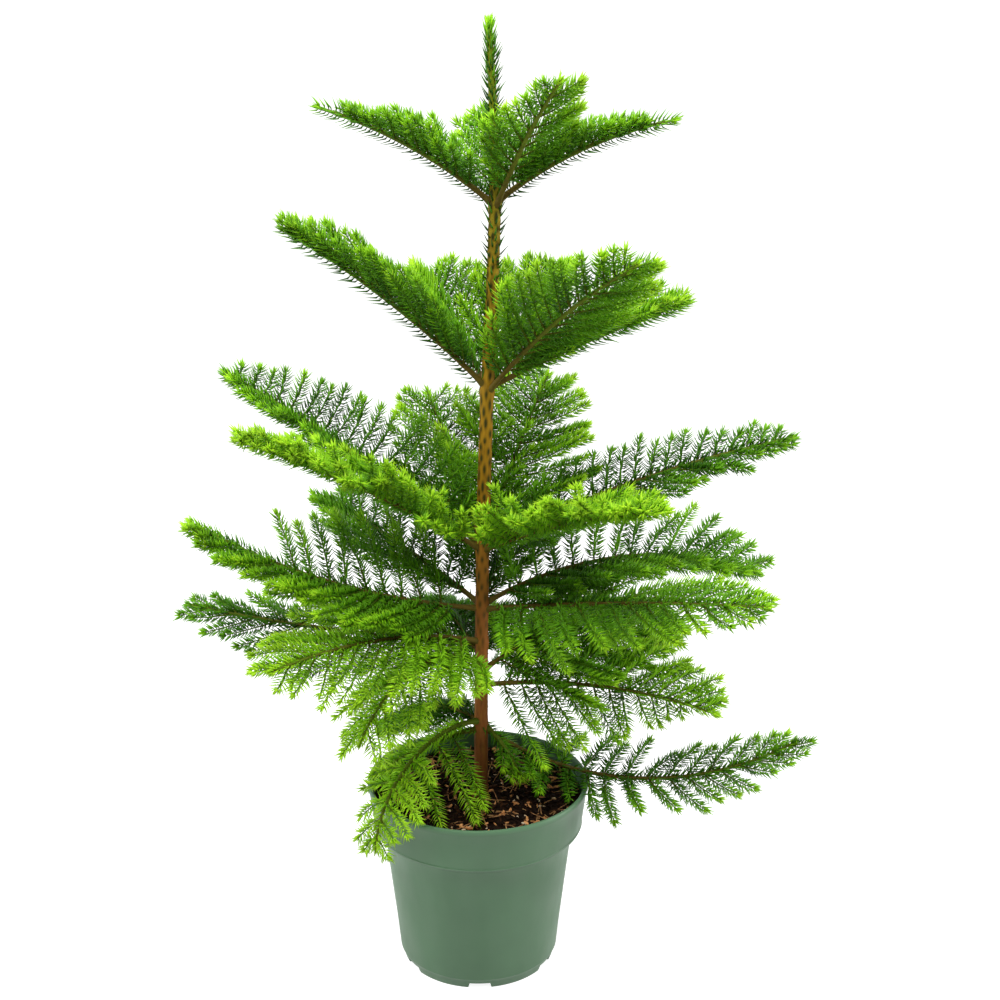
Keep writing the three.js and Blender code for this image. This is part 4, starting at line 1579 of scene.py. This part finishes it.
    def grow_rib(self, bough: Bough, rng: np.random.Generator) -> None:
        """Make the rib of a bough with its bark relief and its own needles.

        Args:
            bough: The bough.
            rng: Random numbers of the bough.
        """
        count = int(bough.length / 3.2)
        s = np.linspace(0.0, bough.length + 1.5, count)
        line, _, _, _ = bough.rib(s)
        share = s / s[-1]
        radii = mix(self.rib_root, self.rib_tip, share)
        flare = 0.9 * np.exp(-(((s - trunk_radius(np.array(bough.z))) / 4.0) ** 2))
        radii = (radii + flare) * (1 + 0.09 * np.sin(s * 1.9) + rng.normal(0, 0.05, count))
        skin, faces, place = tube(line, radii, 9)
        self.ribs[bough.tier].add(skin, faces, np.minimum(place + bough.youth, 1.0))
        first = 8.0 if bough.tier <= 2 else bough.length * min(max(bough.limb, 0.06), 0.12)
        whorl = WHORLS[bough.tier]
        t = np.arange(first, bough.length + 1.0, 1 / whorl.rib_density)
        t = t + rng.normal(0, 0.4, len(t))
        thin = np.interp(t / bough.length, [bough.bare * 0.7, bough.bare], [0.25, 1.0])
        t = t[rng.uniform(0, 1, len(t)) < thin]
        points, along, _, _ = bough.rib(t)
        share = np.clip(t / bough.length, 0, 1)
        lengths = (whorl.needle_length + whorl.rib_extra) * self.rib_length.at(share)
        lean = self.rib_lean.at(share)
        # Painted light: the bough's glow brightens the rib's own needles.
        level = bough.glow - 0.7 + self.rib_fresh.at(share)
        level = level + rng.normal(0, 0.2, len(t))
        flank = np.where((share < self.tip_share) & (bough.tier <= 2), self.side_limit, 2.0)
        self.clothe(bough.tier, points, along, lengths, lean, level, rng, bough.keel, flank)
        buds = 2 * self.bud_needles
        points, along, _, _ = bough.rib(np.linspace(bough.length - 4, bough.length + 1.2, buds))
        lengths = rng.uniform(5.6, 8.6, buds)
        lean = rng.uniform(12, 56, buds)
        # The bough's glow, painted light included, also brightens the bud.
        self.clothe(bough.tier, points, along, lengths, lean, np.full(buds, bough.glow + 1.6), rng)

    def grow(self) -> None:
        """Grow every bough."""
        for index, bough in enumerate(BOUGHS):
            rng = np.random.default_rng(1000 + 37 * index)
            self.grow_rib(bough, rng)
            for shoot in self.branchlets(bough, rng):
                self.grow_shoot(bough.tier, shoot, rng)

    def dress(self) -> None:
        """Write the pieces of every tier and put them on the frame."""
        old_bark, young_bark = (0.132, 0.092, 0.013), (0.135, 0.185, 0.012)
        old_twig, young_twig = (0.120, 0.130, 0.010), (0.115, 0.270, 0.010)
        bark = RibFinish("bough_bark", old_bark, young_bark, (0.5, 0.86)).material()
        green = RibFinish("shoot_bark", old_twig, young_twig, (0.12, 0.5)).material()
        for tier in WHORLS:
            limbs: list[str] = []
            masses: list[str] = []
            for bough in BOUGHS:
                if bough.tier == tier:
                    limb, mass = bough.nodes()
                    limbs += limb
                    masses += mass
            settle(self.ribs[tier].write(f"boughs_tier{tier}", bark, "along"), limbs)
            settle(self.shoots[tier].write(f"twigs_tier{tier}", green, "along"), masses)
            for tint in Tint:
                stack = self.needles.get((tier, tint))
                if stack is not None:
                    piece = stack.write(f"needles_tier{tier}_{tint.name.lower()}", needle_material(tint))
                    settle(piece, [])


@dataclass
class Studio:
    """White cove, soft lights and the camera."""

    camera_place: tuple[float, float, float] = (20.4, -1500.0, 956.0)
    camera_pitch: float = 18.57
    focal_pixels: float = 1797.0
    image_pixels: float = 1000.0
    sensor: float = 36.0
    cove_half: float = 4.0
    cove_back: float = 2.6
    cove_height: float = 3.2
    cove_bend: float = 0.9
    paper_glow: float = 0.9
    room_glow: float = 0.19
    crown_middle: float = 0.45
    bend_steps: int = 12

    def build(self) -> None:
        """Set up the stage."""
        self.add_camera()
        self.add_cove()
        self.add_light("key", (-0.45, -1.2, 2.5), (1.2, 1.2), 40.0)
        self.add_light("fill", (1.9, -0.1, 0.8), (1.0, 1.4), 24.0)
        self.add_light("side", (-1.9, -0.1, 0.8), (1.0, 1.4), 22.0)
        self.add_light("top", (0.1, 0.2, 2.6), (1.4, 1.4), 38.0)
        self.add_world()
        bpy.context.scene.view_settings.view_transform = "Standard"

    def add_camera(self) -> None:
        """Place the camera at the photograph's viewing angle."""
        data = bpy.data.cameras.new("camera")
        data.sensor_width = self.sensor
        data.lens = self.sensor * self.focal_pixels / self.image_pixels
        camera = bpy.data.objects.new("camera", data)
        camera.location = [part * MM for part in self.camera_place]
        camera.rotation_euler = (math.radians(90 - self.camera_pitch), 0.0, 0.0)
        bpy.context.collection.objects.link(camera)
        bpy.context.scene.camera = camera

    def add_cove(self) -> None:
        """Model the floor and the backdrop that it curves up into."""
        bpy.ops.object.select_all(action="DESELECT")
        middle = (0.0, self.cove_back - self.cove_half, 0.0)
        bpy.ops.mesh.primitive_plane_add(size=2 * self.cove_half, location=middle)
        cove = bpy.context.object
        cove.name = "cove"
        for edge in cove.data.edges:
            edge.select = all(cove.data.vertices[v].co.y > 0 for v in edge.vertices)
        for face in cove.data.polygons:
            face.select = False
        for vertex in cove.data.vertices:
            vertex.select = vertex.co.y > 0
        bpy.ops.object.mode_set(mode="EDIT")
        bpy.ops.mesh.select_mode(type="EDGE")
        for step in range(self.bend_steps):
            a0, a1 = (math.pi / 2 * k / self.bend_steps for k in (step, step + 1))
            move = (
                0.0,
                self.cove_bend * (math.sin(a1) - math.sin(a0)),
                self.cove_bend * (math.cos(a0) - math.cos(a1)),
            )
            bpy.ops.mesh.extrude_edges_move(TRANSFORM_OT_translate={"value": move})
        bpy.ops.mesh.extrude_edges_move(TRANSFORM_OT_translate={"value": (0.0, 0.0, self.cove_height)})
        bpy.ops.object.mode_set(mode="OBJECT")
        bpy.ops.object.shade_smooth()
        cove.data.materials.append(self.cove_finish())

    def cove_finish(self) -> Material:
        """White paper that stays bright behind the plant."""
        shader = Shader("white_paper")
        rays = shader.add("LightPath").outputs["Is Diffuse Ray"]
        glow = shader.span(rays, 0.0, 1.0, self.paper_glow, 0.0)
        shader.fill(shader.body, {"Emission Color": WHITE, "Emission Strength": glow})
        paper = {"Base Color": (0.5, 0.5, 0.5, 1.0), "Roughness": 0.95, "Specular IOR Level": 0.0}
        shader.fill(shader.body, paper)
        return shader.material

    def add_light(
        self, name: str, place: tuple[float, float, float], size: tuple[float, float], power: float
    ) -> None:
        """Hang one soft box that looks at the crown.

        Args:
            name: Name of the light.
            place: Place in metres.
            size: Width and height in metres.
            power: Power in watts.
        """
        data = bpy.data.lights.new(name, "AREA")
        data.shape = "RECTANGLE"
        data.size, data.size_y = size
        data.energy = power
        light = bpy.data.objects.new(name, data)
        light.location = place
        toward = np.array([0.0, 0.0, self.crown_middle]) - np.array(place)
        flat = math.hypot(toward[0], toward[1])
        tip = math.pi / 2 + math.atan2(toward[2], flat)
        light.rotation_euler = (tip, 0.0, math.atan2(-toward[0], toward[1]))
        bpy.context.collection.objects.link(light)

    def add_world(self) -> None:
        """Fill the room with a little white light."""
        world = bpy.data.worlds.new("room")
        world.use_nodes = True
        ground = world.node_tree.nodes["Background"]
        ground.inputs["Color"].default_value = WHITE
        ground.inputs["Strength"].default_value = self.room_glow
        bpy.context.scene.world = world


def main() -> None:
    """Build the pine and its stage."""
    logging.basicConfig(level=logging.INFO, format="%(name)s %(message)s")
    Studio().build()
    pot = Pot()
    pot.dress(pot.build())
    soil = Soil(pot)
    soil.dress(soil.build())
    trunk = Trunk(whorls=(711.0, 551.0, 407.0, 351.0, 317.0, 236.0))
    trunk.dress(trunk.build())
    crown = Crown(pot, soil)
    crown.grow()
    crown.dress()


if __name__ == "__main__":
    main()
